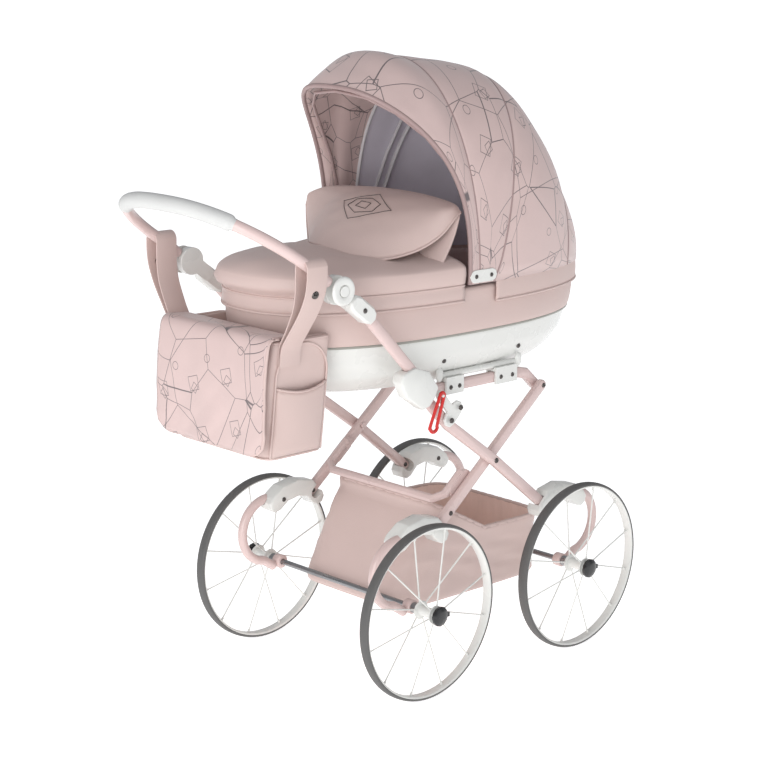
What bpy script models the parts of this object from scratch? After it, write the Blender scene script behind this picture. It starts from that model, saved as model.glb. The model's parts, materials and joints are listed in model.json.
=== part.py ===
"""Dolls' pram: spoked wheels, crossed folding chassis, carrycot, hood, apron, bag and basket.

Metres, +Z up, +X towards the hood, +Y to the left. The origin is on the floor, under the
middle of the pram. Side-view points are given from the rear axle and then moved to it.
"""
import bpy
import bmesh
import math
from mathutils import Vector

for leftover in list(bpy.data.objects):
    bpy.data.objects.remove(leftover)

# Clearances and facets
GAP = 0.0003
RUNNING = 0.00025
ROUND = 10
PLAN_COUNT = 28

# Wheels and axles
WHEEL_RADIUS = 0.120
WHEELBASE = 0.3043
TRACK = 0.328
REAR_AXLE_X = -0.0519
TYRE_WIDTH = 0.0155
TYRE_DEPTH = 0.0036
RIM_DEPTH = 0.0030
RIM_WIDTH = 0.0140
HUB_LENGTH = 0.036
HUB_RADIUS = 0.0075
FLANGE_RADIUS = 0.0125
FLANGE_WIDTH = 0.0024
SPOKES = 12
SPOKE_RADIUS = 0.0011
WHEEL_FACETS = 32
AXLE_RADIUS = 0.0040
CAP_RADIUS = 0.0135
CAP_LENGTH = 0.0085

# Crossed tubes of each side, in planes beside each other
TUBE_WIDTH = 0.0155
TUBE_THICKNESS = 0.0110
TUBE_EDGE = 0.0040
FRONT_TUBE_Y = 0.1370
REAR_TUBE_Y = 0.1245
RAIL_Y = 0.1115
HANDLE_TUBE_Y = 0.1450
CROSSING = (0.1496, 0.2963)
CROSS_BOLT_RADIUS = 0.0030
BOLT_HEAD_RADIUS = 0.0048
REAR_TUBE_FOOT = (0.0510, 0.2150)
REAR_TUBE_TOP = (0.2565, 0.3830)
FRONT_TUBE_ELBOW = (0.0575, 0.3605)
FRONT_TUBE_TOP = (0.0070, 0.4085)

# Knuckles and C-shaped springs
KNUCKLE_OUTER_WALL = 0.0055
KNUCKLE_DEPTH = 0.0250
KNUCKLE_WIDTH = 0.0240
SPRING_TOP = (-0.0060, 0.2170)
SPRING_RADIUS = 0.0067
SPRING_Y = 0.1305
SPRING_REACH = 0.0760

# Lock and lower handle tubes
LOCK_COVER = ((-0.0472, 0.4345), (-0.0437, 0.4450), (-0.0220, 0.4510), (0.0040, 0.4430), (0.0226, 0.4190),
              (0.0150, 0.4045), (0.0060, 0.3955), (-0.0050, 0.3925), (-0.0352, 0.4125))
LOCK_COVER_Y = (0.1350, 0.1545)
LOCK_SCREWS = ((0.0500, 0.3685), (0.0667, 0.3850))
LOCK_PLATE_WIDTH = 0.0220
LOCK_PLATE_LENGTH = 0.0400
LOCK_PLATE_THICKNESS = 0.0045
LOOP_SCREW = (0.0330, 0.4055)
LOOP_FOOT = (0.0185, 0.3660)
LOOP_TOP_RADIUS = 0.0058
LOOP_FOOT_RADIUS = 0.0100
LOOP_BAND = 0.0055
LOOP_THICKNESS = 0.0030
HANDLE_TUBE_FOOT = (-0.0060, 0.4300)
HANDLE_TUBE_TOP = (-0.1060, 0.5310)

# Height joint of the handle
HANDLE_PIVOT = (-0.1525, 0.5655)
DISC_RADIUS = 0.0185
DISC_HALF = 0.0105
SLEEVE_END = DISC_RADIUS + 0.0140
BUTTON_RADIUS = 0.0070
BUTTON_TRAVEL = 0.0030
BUTTON_PROUD = 0.0035

# Handle bar and grip
BAR_RADIUS = 0.0075
GRIP_RADIUS = 0.0105
BAR_BEND = (-0.1965, 0.5968)
BAR_END_GAP = 0.0014
ARM_SLOPE = (Vector(BAR_BEND) - Vector(HANDLE_PIVOT)).normalized()
BAR_ARM = (tuple(Vector(HANDLE_PIVOT) + ARM_SLOPE * (DISC_RADIUS + BAR_END_GAP)), BAR_BEND)
BAR_REACH = (-0.3100, 0.6706)
GRIP_HALF_SPAN = 0.1130
ARM_SOCKET = DISC_RADIUS + 0.0025
STRAP_WIDTH = 0.0300
COLLAR_RADIUS = 0.0098

# Rails that carry the carrycot
RAIL_Z = 0.4045
RAIL_BACK = 0.0185
RAIL_BEND = 0.2280
SADDLE_BACK = (0.0705, 0.1045)
SADDLE_FRONT = (0.1680, 0.2110)
SADDLE_WALL = 0.0035
ROD_RADIUS = 0.0045
ROD_Z = 0.4205

# Carrycot
COT_X = 0.1144
COT_POWER = 2.4
SHELL_BOTTOM = 0.4070
PIPING_Z = 0.4780
BELT_TOP = 0.5400
BELT_LENGTH = 0.5840
BELT_WIDTH = 0.2700
SHELL_WALL = 0.0030
PAD_THICKNESS = 0.0120
MATTRESS_THICKNESS = 0.0250
APRON_SKIRT_Z = 0.5220
APRON_TOP_Z = 0.6000
APRON_CROWN = 0.0480
APRON_FULLNESS = 2.1
APRON_END_X = 0.0830
APRON_END_LEAN = 0.0300
CLOTH = 0.0025
FLAP_HEM = (0.0440, 0.6041)
FLAP_HEM_RADIUS = 0.0036
FLAP_FREE_EDGE = (-0.0400, 0.6120)
FLAP_CREST = (0.0730, 0.6560)
FLAP_HALF_WIDTH = 0.1210
FLAP_THICKNESS = 0.0110

# Hood
HOOD_PIVOT = (0.1110, 0.5540)
HOOD_SKIRT_Z = 0.5160
HOOD_CENTRE = (0.1600, 0.5540)
HOOD_CLEARANCE = 0.0008
BOW_EYE_RADIUS = 0.0046
BOW_EYE_THICKNESS = 0.0040
BOW_PIN_RADIUS = 0.0020
BOW_RADIUS = 0.0022
BRACKET_X = (0.0895, 0.1410)
BRACKET_WIDTH = 0.0170
# Arches of the hood from the rim to the back: degrees round the belt, top point, fullness, sweep
RIM_ROW = (92.6, (-0.0340, 0.7965), 2.75, 3.0)
SECOND_SEAM_ROW = (87.3, (0.2100, 0.8100), 2.54, 0.75)
HOOD_ROWS = (RIM_ROW, (92.1, (-0.0080, 0.8140), 2.50, 2.6), (91.5, (0.0300, 0.8345), 2.35, 2.2),
             (90.5, (0.0740, 0.8325), 2.35, 1.7), (89.3, (0.1250, 0.8230), 2.42, 1.2),
             (88.2, (0.1700, 0.8170), 2.48, 0.9), SECOND_SEAM_ROW,
             (83.57, (0.2450, 0.7870), 2.50, 0.8), (70.71, (0.2740, 0.7570), 2.45, 0.9),
             (57.86, (0.3080, 0.7200), 2.40, 1.0), (45.0, (0.3340, 0.6760), 2.35, 1.0),
             (32.14, (0.3630, 0.6270), 2.35, 1.0), (19.29, (0.3850, 0.5860), 2.35, 1.0),
             (6.43, (0.4064, 0.5580), 2.35, 1.0))
FRONT_BOW_ROW = (90.0, (-0.0280, 0.7980), 2.75, 2.6)
MIDDLE_BOW_ROW = (87.3, (0.2080, 0.8060), 2.54, 0.75)

# Bag
BAG_TOP_Z = 0.5020
BAG_BOTTOM_Z = 0.3450
BAG_BACK_X = -0.2180
BAG_FRONT_X = -0.1880
BAG_SIDE_FRONT_X = -0.1240
BAG_HALF_WIDTH = 0.1060
BAG_FLAP_DROP = 0.1440
BAG_WALL = 0.0030

# Basket
BASKET_HALF_WIDTH = 0.1080
BASKET_FLOOR_Z = 0.1000
BASKET_FRONT_TOP_Z = 0.1880
BASKET_WALL = 0.0025
HOOP_AT = (0.0712, 0.2480)
HOOP_RADIUS = 0.0060


def material(name, colour, roughness, metallic=0.0):
    """A plain finish: colour, roughness and metallic value."""
    made = bpy.data.materials.get(name) or bpy.data.materials.new(name)
    made.use_nodes = True
    shader = made.node_tree.nodes["Principled BSDF"]
    shader.inputs["Base Color"].default_value = (*colour, 1.0)
    shader.inputs["Roughness"].default_value = roughness
    shader.inputs["Metallic"].default_value = metallic
    return made


PAINT = material("frame_paint", (0.66, 0.48, 0.46), 0.30)
WHITE = material("white_plastic", (0.80, 0.80, 0.77), 0.35)
RUBBER = material("tyre_rubber", (0.10, 0.10, 0.10), 0.70)
BLACK = material("black_plastic", (0.01, 0.01, 0.01), 0.25)
STEEL = material("steel", (0.55, 0.55, 0.55), 0.30, 1.0)
LEATHER = material("faux_leather", (0.60, 0.42, 0.39), 0.50)
PRINT = material("printed_fabric", (0.56, 0.41, 0.39), 0.60)
LINING = material("lining", (0.31, 0.29, 0.35), 0.80)
SATIN = material("basket_lining", (0.68, 0.40, 0.29), 0.40)
RED = material("red_webbing", (0.60, 0.01, 0.01), 0.50)
FOAM = material("white_foam", (0.78, 0.77, 0.75), 0.60)


def side(point, y):
    """A side-view point given from the rear axle, put at its own y."""
    return Vector((REAR_AXLE_X + point[0], y, point[1]))


def solid(name, verts, faces, finish, origin=(0, 0, 0), sharp=35.0):
    """A named piece from world points, with its origin on its joint's axis."""
    origin = Vector(origin)
    mesh = bpy.data.meshes.new(name)
    mesh.from_pydata([Vector(v) - origin for v in verts], [], faces)
    shape = bmesh.new()
    shape.from_mesh(mesh)
    bmesh.ops.recalc_face_normals(shape, faces=shape.faces)
    if shape.calc_volume(signed=True) < 0:
        bmesh.ops.reverse_faces(shape, faces=shape.faces)
    shape.to_mesh(mesh)
    shape.free()
    mesh.materials.append(finish)
    mesh.shade_smooth()
    mesh.set_sharp_from_angle(angle=math.radians(sharp))
    made = bpy.data.objects.new(name, mesh)
    made.location = origin
    bpy.context.scene.collection.objects.link(made)
    return made


def loft(rings, closed=False):
    """Rings of equal length joined in order, with both ends capped, or joined to the start."""
    count = len(rings[0])
    verts = [v for ring in rings for v in ring]
    faces = []
    steps = len(rings) if closed else len(rings) - 1
    for i in range(steps):
        j = (i + 1) % len(rings)
        for k in range(count):
            m = (k + 1) % count
            faces.append((i * count + k, i * count + m, j * count + m, j * count + k))
    if not closed:
        faces.append(tuple(range(count)))
        faces.append(tuple(range((len(rings) - 1) * count, len(rings) * count)))
    return verts, faces


def turned(centre, profile, facets, closed=False):
    """A profile of (distance along Y, radius) turned round the Y axis through the centre."""
    rings = []
    for along, radius in profile:
        rings.append([Vector((centre[0] + radius * math.cos(2 * math.pi * k / facets),
                              centre[1] + along,
                              centre[2] + radius * math.sin(2 * math.pi * k / facets)))
                      for k in range(facets)])
    return loft(rings, closed)


def superellipse(half_length, half_width, power, count):
    """Plan outline between an ellipse and a rectangle."""
    points = []
    for k in range(count):
        angle = 2 * math.pi * (k + 0.5) / count
        c = math.cos(angle)
        s = math.sin(angle)
        points.append((half_length * math.copysign(abs(c) ** (2 / power), c),
                       half_width * math.copysign(abs(s) ** (2 / power), s)))
    return points


def strip(points, width, facets=5):
    """Side-view outline of a strip along the points, with round ends."""
    half = width / 2
    path = [Vector(p) for p in points]
    left = []
    right = []
    for i, p in enumerate(path):
        before = (p - path[i - 1]).normalized() if i else (path[1] - p).normalized()
        after = (path[i + 1] - p).normalized() if i < len(path) - 1 else before
        along = (before + after).normalized()
        across = Vector((-along.y, along.x)) * half / max(along.dot(after), 0.5)
        left.append(p + across)
        right.append(p - across)
    end = []
    start = []
    for k in range(1, facets):
        turn = math.pi * k / facets
        tip = (path[-1] - path[-2]).normalized()
        normal = Vector((-tip.y, tip.x))
        end.append(path[-1] + (normal * math.cos(turn) + tip * math.sin(turn)) * half)
        tail = (path[0] - path[1]).normalized()
        normal = Vector((-tail.y, tail.x))
        start.append(path[0] + (normal * math.cos(turn) + tail * math.sin(turn)) * half)
    return left + end + right[::-1] + start


def plate(name, outline, y_low, y_high, finish, edge=0.0, origin=(0, 0, 0), segments=2):
    """A side-view outline, from the rear axle, given a thickness along Y and eased edges."""
    rings = [[side(p, y) for p in outline] for y in (y_low, y_high)]
    made = solid(name, *loft(rings), finish, origin)
    if edge:
        ease = made.modifiers.new("eased_edges", "BEVEL")
        ease.width = edge
        ease.segments = segments
        ease.limit_method = "ANGLE"
        ease.angle_limit = math.radians(50)
    return made


def between(centre_y, thickness, sign):
    """The lower and upper y of a piece centred at this distance from the middle plane."""
    return tuple(sorted((sign * (centre_y - thickness / 2), sign * (centre_y + thickness / 2))))


def pipe(points, radius, facets, up=Vector((0, 1, 0)), radii=None):
    """Rings of a round pipe along points, kept from twisting by the up direction."""
    rings = []
    path = [Vector(p) for p in points]
    normal = up
    for i, p in enumerate(path):
        ahead = path[min(i + 1, len(path) - 1)] - path[max(i - 1, 0)]
        tangent = ahead.normalized()
        normal = (normal - tangent * normal.dot(tangent)).normalized()
        other = tangent.cross(normal)
        r = radii[i] if radii else radius
        rings.append([p + (normal * math.cos(2 * math.pi * k / facets)
                           + other * math.sin(2 * math.pi * k / facets)) * r
                      for k in range(facets)])
    return rings


def arc(centre, radius, start, end, steps):
    """Side-view points on an arc, angles in degrees from +X towards +Z."""
    return [(centre[0] + radius * math.cos(math.radians(start + (end - start) * k / steps)),
             centre[1] + radius * math.sin(math.radians(start + (end - start) * k / steps)))
            for k in range(steps + 1)]


def combine(target, tool, operation):
    """A Boolean with a tool that isn't itself a piece."""
    tool.hide_render = True
    tool.display_type = "WIRE"
    cut = target.modifiers.new(tool.name, "BOOLEAN")
    cut.operation = operation
    cut.object = tool
    cut.solver = "EXACT"
    return target


def cylinder_y(name, point, y_low, y_high, radius, finish, facets=ROUND, origin=(0, 0, 0)):
    """A round bar along Y at a side-view point."""
    centre = side(point, 0)
    return solid(name, *turned(centre, ((y_low, radius), (y_high, radius)), facets), finish, origin)


def bolt(name, point, inner_y, outer_y, sign):
    """A bolt along Y with a low head at its inner end; its outer end sinks into its carrier."""
    centre = side(point, 0)
    profile = ((sign * (inner_y - 0.0030), BOLT_HEAD_RADIUS), (sign * inner_y, BOLT_HEAD_RADIUS),
               (sign * inner_y, CROSS_BOLT_RADIUS), (sign * outer_y, CROSS_BOLT_RADIUS))
    return solid(name, *turned(centre, profile, ROUND), STEEL)


def facet_radius(radius):
    """Corner radius of the wheel's facets, so that the flats lie at the stated radius."""
    return radius / math.cos(math.pi / WHEEL_FACETS)


def wheel_mesh():
    """Rim, twelve spokes to two flanges, and hub, joined into one mesh about its own centre."""
    rim_outer = facet_radius(WHEEL_RADIUS) - TYRE_DEPTH - GAP
    half = RIM_WIDTH / 2
    rim_profile = ((-half, rim_outer), (-half, rim_outer - RIM_DEPTH), (half, rim_outer - RIM_DEPTH),
                   (half, rim_outer))
    rim = solid("rim", *turned((0, 0, 0), rim_profile, WHEEL_FACETS, closed=True), WHITE)
    bore = AXLE_RADIUS + RUNNING
    reach = HUB_LENGTH / 2
    flange = reach - 0.0060
    hub_profile = ((-reach, bore), (-reach, HUB_RADIUS), (-flange - FLANGE_WIDTH, HUB_RADIUS),
                   (-flange - FLANGE_WIDTH, FLANGE_RADIUS), (-flange, FLANGE_RADIUS),
                   (-flange, HUB_RADIUS), (flange, HUB_RADIUS), (flange, FLANGE_RADIUS),
                   (flange + FLANGE_WIDTH, FLANGE_RADIUS), (flange + FLANGE_WIDTH, HUB_RADIUS),
                   (reach, HUB_RADIUS), (reach, bore))
    hub = solid("hub", *turned((0, 0, 0), hub_profile, ROUND, closed=True), WHITE)
    combine(rim, hub, "UNION")
    for k in range(SPOKES):
        angle = 2 * math.pi * (k + 0.5) / SPOKES
        out = Vector((math.cos(angle), 0, math.sin(angle)))
        flange_y = (flange + FLANGE_WIDTH / 2) * (1 if k % 2 else -1)
        inner = out * (FLANGE_RADIUS - 0.0025) + Vector((0, flange_y, 0))
        outer = out * (rim_outer - RIM_DEPTH + 0.0012)
        rings = pipe((inner, outer), SPOKE_RADIUS, 4)
        combine(rim, solid(f"spoke_{k}", *loft(rings), WHITE), "UNION")
    bpy.context.view_layer.update()
    graph = bpy.context.evaluated_depsgraph_get()
    mesh = bpy.data.meshes.new_from_object(rim.evaluated_get(graph))
    mesh.name = "spoked_wheel"
    for tool in [rim, hub] + [bpy.data.objects[f"spoke_{k}"] for k in range(SPOKES)]:
        bpy.data.objects.remove(tool)
    return mesh


def build_wheels():
    """Four wheels with tyres and caps, on two steel axles."""
    spoked = wheel_mesh()
    outer = facet_radius(WHEEL_RADIUS)
    inner = outer - TYRE_DEPTH
    half = TYRE_WIDTH / 2
    crown = TYRE_DEPTH * 0.45
    tyre_profile = ((-half, inner), (half, inner), (half, outer - crown), (half * 0.35, outer),
                    (-half * 0.35, outer), (-half, outer - crown))
    for end, x in (("rear", 0.0), ("front", WHEELBASE)):
        for hand, sign in (("right", -1), ("left", 1)):
            centre = side((x, WHEEL_RADIUS), sign * TRACK / 2)
            tyre = turned(centre, tyre_profile, WHEEL_FACETS, closed=True)
            turn = math.pi / WHEEL_FACETS
            verts = []
            for v in tyre[0]:
                arm = Vector(v) - centre
                verts.append(centre + Vector((arm.x * math.cos(turn) - arm.z * math.sin(turn), arm.y,
                                              arm.x * math.sin(turn) + arm.z * math.cos(turn))))
            solid(f"tyre_{end}_{hand}", verts, tyre[1], RUBBER, centre)
            wheel = bpy.data.objects.new(f"wheel_{end}_{hand}", spoked)
            wheel.location = centre
            wheel.rotation_euler = (0, -turn, 0)
            bpy.context.scene.collection.objects.link(wheel)
            build_cap(end, hand, sign, centre)
        half_axle = TRACK / 2 + HUB_LENGTH / 2 + 0.0015
        axle = cylinder_y(f"{end}_axle", (x, WHEEL_RADIUS), -half_axle, half_axle, AXLE_RADIUS, STEEL)
        for sign in (-1, 1):
            collar_inner = SPRING_Y + SPRING_RADIUS + GAP
            collar_outer = TRACK / 2 - HUB_LENGTH / 2 - GAP
            washer = cylinder_y(f"{end}_washer_{sign}", (x, WHEEL_RADIUS),
                                *sorted((sign * collar_inner, sign * collar_outer)), 0.0075, STEEL)
            combine(axle, washer, "UNION")


def build_cap(end, hand, sign, centre):
    """Black push-on cap over the axle's end, with its small release tab."""
    start = HUB_LENGTH / 2 + GAP
    pocket = AXLE_RADIUS + GAP
    profile = [(sign * start, pocket), (sign * start, CAP_RADIUS * 0.86),
               (sign * (start + 0.0020), CAP_RADIUS), (sign * (start + CAP_LENGTH * 0.62), CAP_RADIUS),
               (sign * (start + CAP_LENGTH * 0.88), CAP_RADIUS * 0.80),
               (sign * (start + CAP_LENGTH), CAP_RADIUS * 0.42),
               (sign * (start + 0.0030), pocket * 0.98)]
    rings_verts, rings_faces = turned(centre, profile[:-1] + [(sign * (start + CAP_LENGTH), 0.0012)], 12)
    cap = solid(f"hub_cap_{end}_{hand}", rings_verts, rings_faces, BLACK, centre)
    socket = solid(f"socket_{end}_{hand}", *turned(centre, ((sign * (start - 0.001), pocket),
                                                            (sign * (start + 0.0030), pocket)), ROUND), BLACK)
    combine(cap, socket, "DIFFERENCE")
    tab_y = sorted((centre.y + sign * (start + 0.0020), centre.y + sign * (start + 0.0052)))
    corners = [(CAP_RADIUS - 0.004, -0.0030), (CAP_RADIUS + 0.0035, -0.0030),
               (CAP_RADIUS + 0.0035, 0.0030), (CAP_RADIUS - 0.004, 0.0030)]
    rings = [[Vector((centre.x + p[0], y, centre.z + p[1])) for p in corners] for y in tab_y]
    tab = solid(f"tab_{end}_{hand}", *loft(rings), BLACK)
    combine(cap, tab, "UNION")


def spring_path(mirror):
    """Side-view route of the C-shaped spring, from the knuckle round to the axle."""
    centre_z = (SPRING_TOP[1] + WHEEL_RADIUS) / 2 + 0.003
    bulge = arc((-0.0240, centre_z), SPRING_REACH - SPRING_RADIUS - 0.0240, 78, 262, 9)
    route = [(SPRING_TOP[0] - 0.006, SPRING_TOP[1] - 0.002)] + bulge[1:] + [(-0.0120, WHEEL_RADIUS - 0.0050)]
    return [(WHEELBASE - x if mirror else x, z) for x, z in route]


def build_springs_and_knuckles():
    """C-shaped springs that carry the axles, and the knuckles that hold them to the tubes."""
    for end, mirror in (("rear", False), ("front", True)):
        for hand, sign in (("right", -1), ("left", 1)):
            route = [side(p, sign * SPRING_Y) for p in spring_path(mirror)]
            spring = solid(f"spring_{end}_{hand}", *loft(pipe(route, SPRING_RADIUS, 8)), PAINT)
            eye_x = WHEELBASE if mirror else 0.0
            eye = cylinder_y(f"eye_{end}_{hand}", (eye_x, WHEEL_RADIUS),
                             *between(SPRING_Y, 2 * SPRING_RADIUS, sign), 0.0095, PAINT)
            combine(spring, eye, "UNION")
            hole = cylinder_y(f"eye_hole_{end}_{hand}", (eye_x, WHEEL_RADIUS),
                              *between(SPRING_Y, 0.03, sign), AXLE_RADIUS + GAP, PAINT)
            combine(spring, hole, "DIFFERENCE")
            build_knuckle(end, hand, sign, mirror, route)


def build_knuckle(end, hand, sign, mirror, route):
    """White moulded hump, closed outside, with channels for the tube's and the spring's ends."""
    tube_y = FRONT_TUBE_Y if mirror else REAR_TUBE_Y
    outer = tube_y + TUBE_THICKNESS / 2 + GAP + KNUCKLE_OUTER_WALL
    spine = [(0.0560, 0.2080), (0.0410, 0.2230), (0.0190, 0.2275), (-0.0050, 0.2230), (-0.0220, 0.2110)]
    spine = [(WHEELBASE - x if mirror else x, z) for x, z in spine]
    low, high = sorted((sign * (outer - KNUCKLE_DEPTH), sign * outer))
    knuckle = plate(f"knuckle_{end}_{hand}", strip(spine, KNUCKLE_WIDTH, 4), low, high, WHITE, 0.0030)
    foot = REAR_TUBE_FOOT
    start = (WHEELBASE - foot[0], foot[1]) if mirror else foot
    tube = [start, CROSSING]
    channel_y = sorted((sign * (tube_y + TUBE_THICKNESS / 2 + GAP), sign * (outer - KNUCKLE_DEPTH - 0.004)))
    channel = plate(f"tube_channel_{end}_{hand}", strip(tube, TUBE_WIDTH + 2 * GAP), *channel_y, WHITE)
    combine(knuckle, channel, "DIFFERENCE")
    ahead = (route[1] - route[0]).normalized()
    longer = [route[0] - ahead * GAP] + route[1:]
    bore = pipe(longer, SPRING_RADIUS + GAP, 8)[:5]
    combine(knuckle, solid(f"spring_channel_{end}_{hand}", *loft(bore), WHITE), "DIFFERENCE")


def build_crossed_tubes():
    """The two pairs of crossed tubes, bolted together where they cross."""
    for hand, sign in (("right", -1), ("left", 1)):
        foot = (WHEELBASE - REAR_TUBE_FOOT[0], REAR_TUBE_FOOT[1])
        front = plate(f"front_tube_{hand}", strip((foot, CROSSING, FRONT_TUBE_ELBOW, FRONT_TUBE_TOP), TUBE_WIDTH),
                      *between(FRONT_TUBE_Y, TUBE_THICKNESS, sign), PAINT, TUBE_EDGE)
        head_y = REAR_TUBE_Y - TUBE_THICKNESS / 2 - GAP
        pin = bolt(f"cross_bolt_{hand}", CROSSING, head_y, FRONT_TUBE_Y, sign)
        combine(front, pin, "UNION")
        rear = plate(f"rear_tube_{hand}", strip((REAR_TUBE_FOOT, CROSSING, REAR_TUBE_TOP), TUBE_WIDTH),
                     *between(REAR_TUBE_Y, TUBE_THICKNESS, sign), PAINT, TUBE_EDGE, side(CROSSING, 0))
        hole = cylinder_y(f"cross_hole_{hand}", CROSSING, *between(REAR_TUBE_Y, 0.02, sign),
                          CROSS_BOLT_RADIUS + RUNNING, PAINT)
        combine(rear, hole, "DIFFERENCE")
        head_y = RAIL_Y - TUBE_THICKNESS / 2 - GAP
        pin = bolt(f"rail_bolt_{hand}", REAR_TUBE_TOP, head_y, REAR_TUBE_Y, sign)
        combine(rear, pin, "UNION")


def build_rails():
    """Level rails with their bent front ends, and the white saddles clamped on them."""
    for hand, sign in (("right", -1), ("left", 1)):
        route = ((RAIL_BACK, RAIL_Z), (RAIL_BEND - 0.010, RAIL_Z), (RAIL_BEND + 0.008, RAIL_Z - 0.004),
                 REAR_TUBE_TOP)
        low, high = between(RAIL_Y, TUBE_THICKNESS, sign)
        rail = plate(f"rail_{hand}", strip(route, TUBE_WIDTH), low, high, PAINT, TUBE_EDGE,
                     side(REAR_TUBE_TOP, 0))
        hole = cylinder_y(f"rail_hole_{hand}", REAR_TUBE_TOP, low - 0.004, high + 0.004,
                          CROSS_BOLT_RADIUS + RUNNING, PAINT)
        combine(rail, hole, "DIFFERENCE")
        stub = cylinder_y(f"rail_stub_{hand}", (RAIL_BACK, RAIL_Z),
                          *sorted((sign * RAIL_Y, sign * (FRONT_TUBE_Y - TUBE_THICKNESS / 2 - GAP))), 0.0050, STEEL)
        combine(rail, stub, "UNION")
        for where, span in (("back", SADDLE_BACK), ("front", SADDLE_FRONT)):
            build_saddle(where, hand, sign, span)


def build_saddle(where, hand, sign, span):
    """Block that clamps the rail from above and holds the carrycot's rod in its groove."""
    half = TUBE_THICKNESS / 2
    inner = RAIL_Y - half - GAP - SADDLE_WALL
    outer = RAIL_Y + half + GAP + SADDLE_WALL
    rail_top = RAIL_Z + TUBE_WIDTH / 2 + GAP
    bottom = RAIL_Z - TUBE_WIDTH / 2 - 0.0015
    top = ROD_Z - ROD_RADIUS * 0.4
    groove = ROD_RADIUS + GAP
    bed = ROD_Z - ROD_RADIUS - GAP
    section = ((inner, bottom), (inner + SADDLE_WALL, bottom), (inner + SADDLE_WALL, rail_top),
               (outer - SADDLE_WALL, rail_top), (outer - SADDLE_WALL, bottom), (outer, bottom),
               (outer, top), (RAIL_Y + groove, top), (RAIL_Y + groove, bed + 0.0022),
               (RAIL_Y + groove * 0.5, bed), (RAIL_Y - groove * 0.5, bed),
               (RAIL_Y - groove, bed + 0.0022), (RAIL_Y - groove, top), (inner, top))
    rings = []
    for end in span:
        rings.append([Vector((REAR_AXLE_X + end, sign * y, z)) for y, z in section])
    solid(f"saddle_{where}_{hand}", *loft(rings), WHITE, side(REAR_TUBE_TOP, 0))


def build_lock():
    """Lock cover on each lower handle tube, screwed plate on the front tube, and red pull loop."""
    for hand, sign in (("right", -1), ("left", 1)):
        low, high = sorted((sign * LOCK_COVER_Y[0], sign * LOCK_COVER_Y[1]))
        cover = plate(f"lock_cover_{hand}", LOCK_COVER, low, high, WHITE, 0.0035)
        tube_line = (HANDLE_TUBE_FOOT, HANDLE_TUBE_TOP)
        slot = plate(f"cover_slot_{hand}", strip(tube_line, TUBE_WIDTH + 2 * GAP),
                     *between(HANDLE_TUBE_Y, TUBE_THICKNESS + 2 * GAP, sign), WHITE)
        combine(cover, slot, "DIFFERENCE")
        front_slot = plate(f"cover_front_slot_{hand}", strip((FRONT_TUBE_ELBOW, FRONT_TUBE_TOP), TUBE_WIDTH + 2 * GAP),
                           *between(FRONT_TUBE_Y - 0.003, TUBE_THICKNESS + 0.006 + 2 * GAP, sign), WHITE)
        combine(cover, front_slot, "DIFFERENCE")
        plate(f"handle_tube_{hand}", strip(tube_line, TUBE_WIDTH),
              *between(HANDLE_TUBE_Y, TUBE_THICKNESS, sign), PAINT, TUBE_EDGE)
        face = FRONT_TUBE_Y + TUBE_THICKNESS / 2 + GAP
        middle = (Vector(LOCK_SCREWS[0]) + Vector(LOCK_SCREWS[1])) / 2
        along = (Vector(LOCK_SCREWS[1]) - Vector(LOCK_SCREWS[0])).normalized()
        reach = along * (LOCK_PLATE_LENGTH - LOCK_PLATE_WIDTH) / 2
        spine = [middle - reach, middle + reach]
        low, high = sorted((sign * face, sign * (face + LOCK_PLATE_THICKNESS)))
        lock_plate = plate(f"lock_plate_{hand}", strip(spine, LOCK_PLATE_WIDTH, 4), low, high, WHITE, 0.0012,
                           segments=1)
        pin_end = face + LOCK_PLATE_THICKNESS + LOOP_THICKNESS + 0.0016
        build_loop(hand, sign, face + LOCK_PLATE_THICKNESS + GAP)
        ear = plate(f"loop_ear_{hand}", strip((middle, LOOP_SCREW), 0.0120, 4), low, high, WHITE)
        combine(lock_plate, ear, "UNION")
        pin = cylinder_y(f"loop_pin_{hand}", LOOP_SCREW, *sorted((sign * (face + 0.001), sign * pin_end)),
                         0.0020, STEEL, 8)
        combine(lock_plate, pin, "UNION")


def build_loop(hand, sign, inner_y):
    """Red pull loop: a closed band hanging from its screw, wider at its foot."""
    top = Vector(LOOP_SCREW)
    foot = Vector(LOOP_FOOT)
    hang = math.degrees(math.atan2(foot.y - top.y, foot.x - top.x))
    outer = arc(top, LOOP_TOP_RADIUS, hang + 90, hang + 270, 6)
    outer += arc(foot, LOOP_FOOT_RADIUS, hang - 90, hang + 90, 6)
    eye = arc(top, 0.0024, 0, 360, 8)[:-1]
    slit = arc(top.lerp(foot, 0.36), LOOP_TOP_RADIUS - 0.0035, hang + 90, hang + 270, 3)
    slit += arc(foot, LOOP_FOOT_RADIUS - LOOP_BAND, hang - 90, hang + 90, 5)
    low, high = sorted((sign * inner_y, sign * (inner_y + LOOP_THICKNESS)))
    origin = side(LOOP_SCREW, 0)
    loop = plate(f"pull_loop_{hand}", outer, low, high, RED, origin=origin)
    for which, outline in (("eye", eye), ("slit", slit)):
        cutter = plate(f"loop_{which}_{hand}", outline, low - 0.002, high + 0.002, RED)
        combine(loop, cutter, "DIFFERENCE")


def bar_route():
    """The handle bar's points, from the right joint round the crossbar to the left joint."""
    half = HANDLE_TUBE_Y
    arm = [side(p, -half) for p in BAR_ARM]
    last = BAR_ARM[-1]
    steps = 14
    bow = []
    for k in range(1, steps):
        angle = math.pi * k / steps
        reach = math.sin(angle) ** 0.95
        across = -math.copysign(abs(math.cos(angle)) ** 0.79, math.cos(angle)) * half
        bow.append(side((last[0] + (BAR_REACH[0] - last[0]) * reach,
                         last[1] + (BAR_REACH[1] - last[1]) * reach), across))
    other = [Vector((p.x, -p.y, p.z)) for p in arm[::-1]]
    return arm + bow + other


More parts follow.
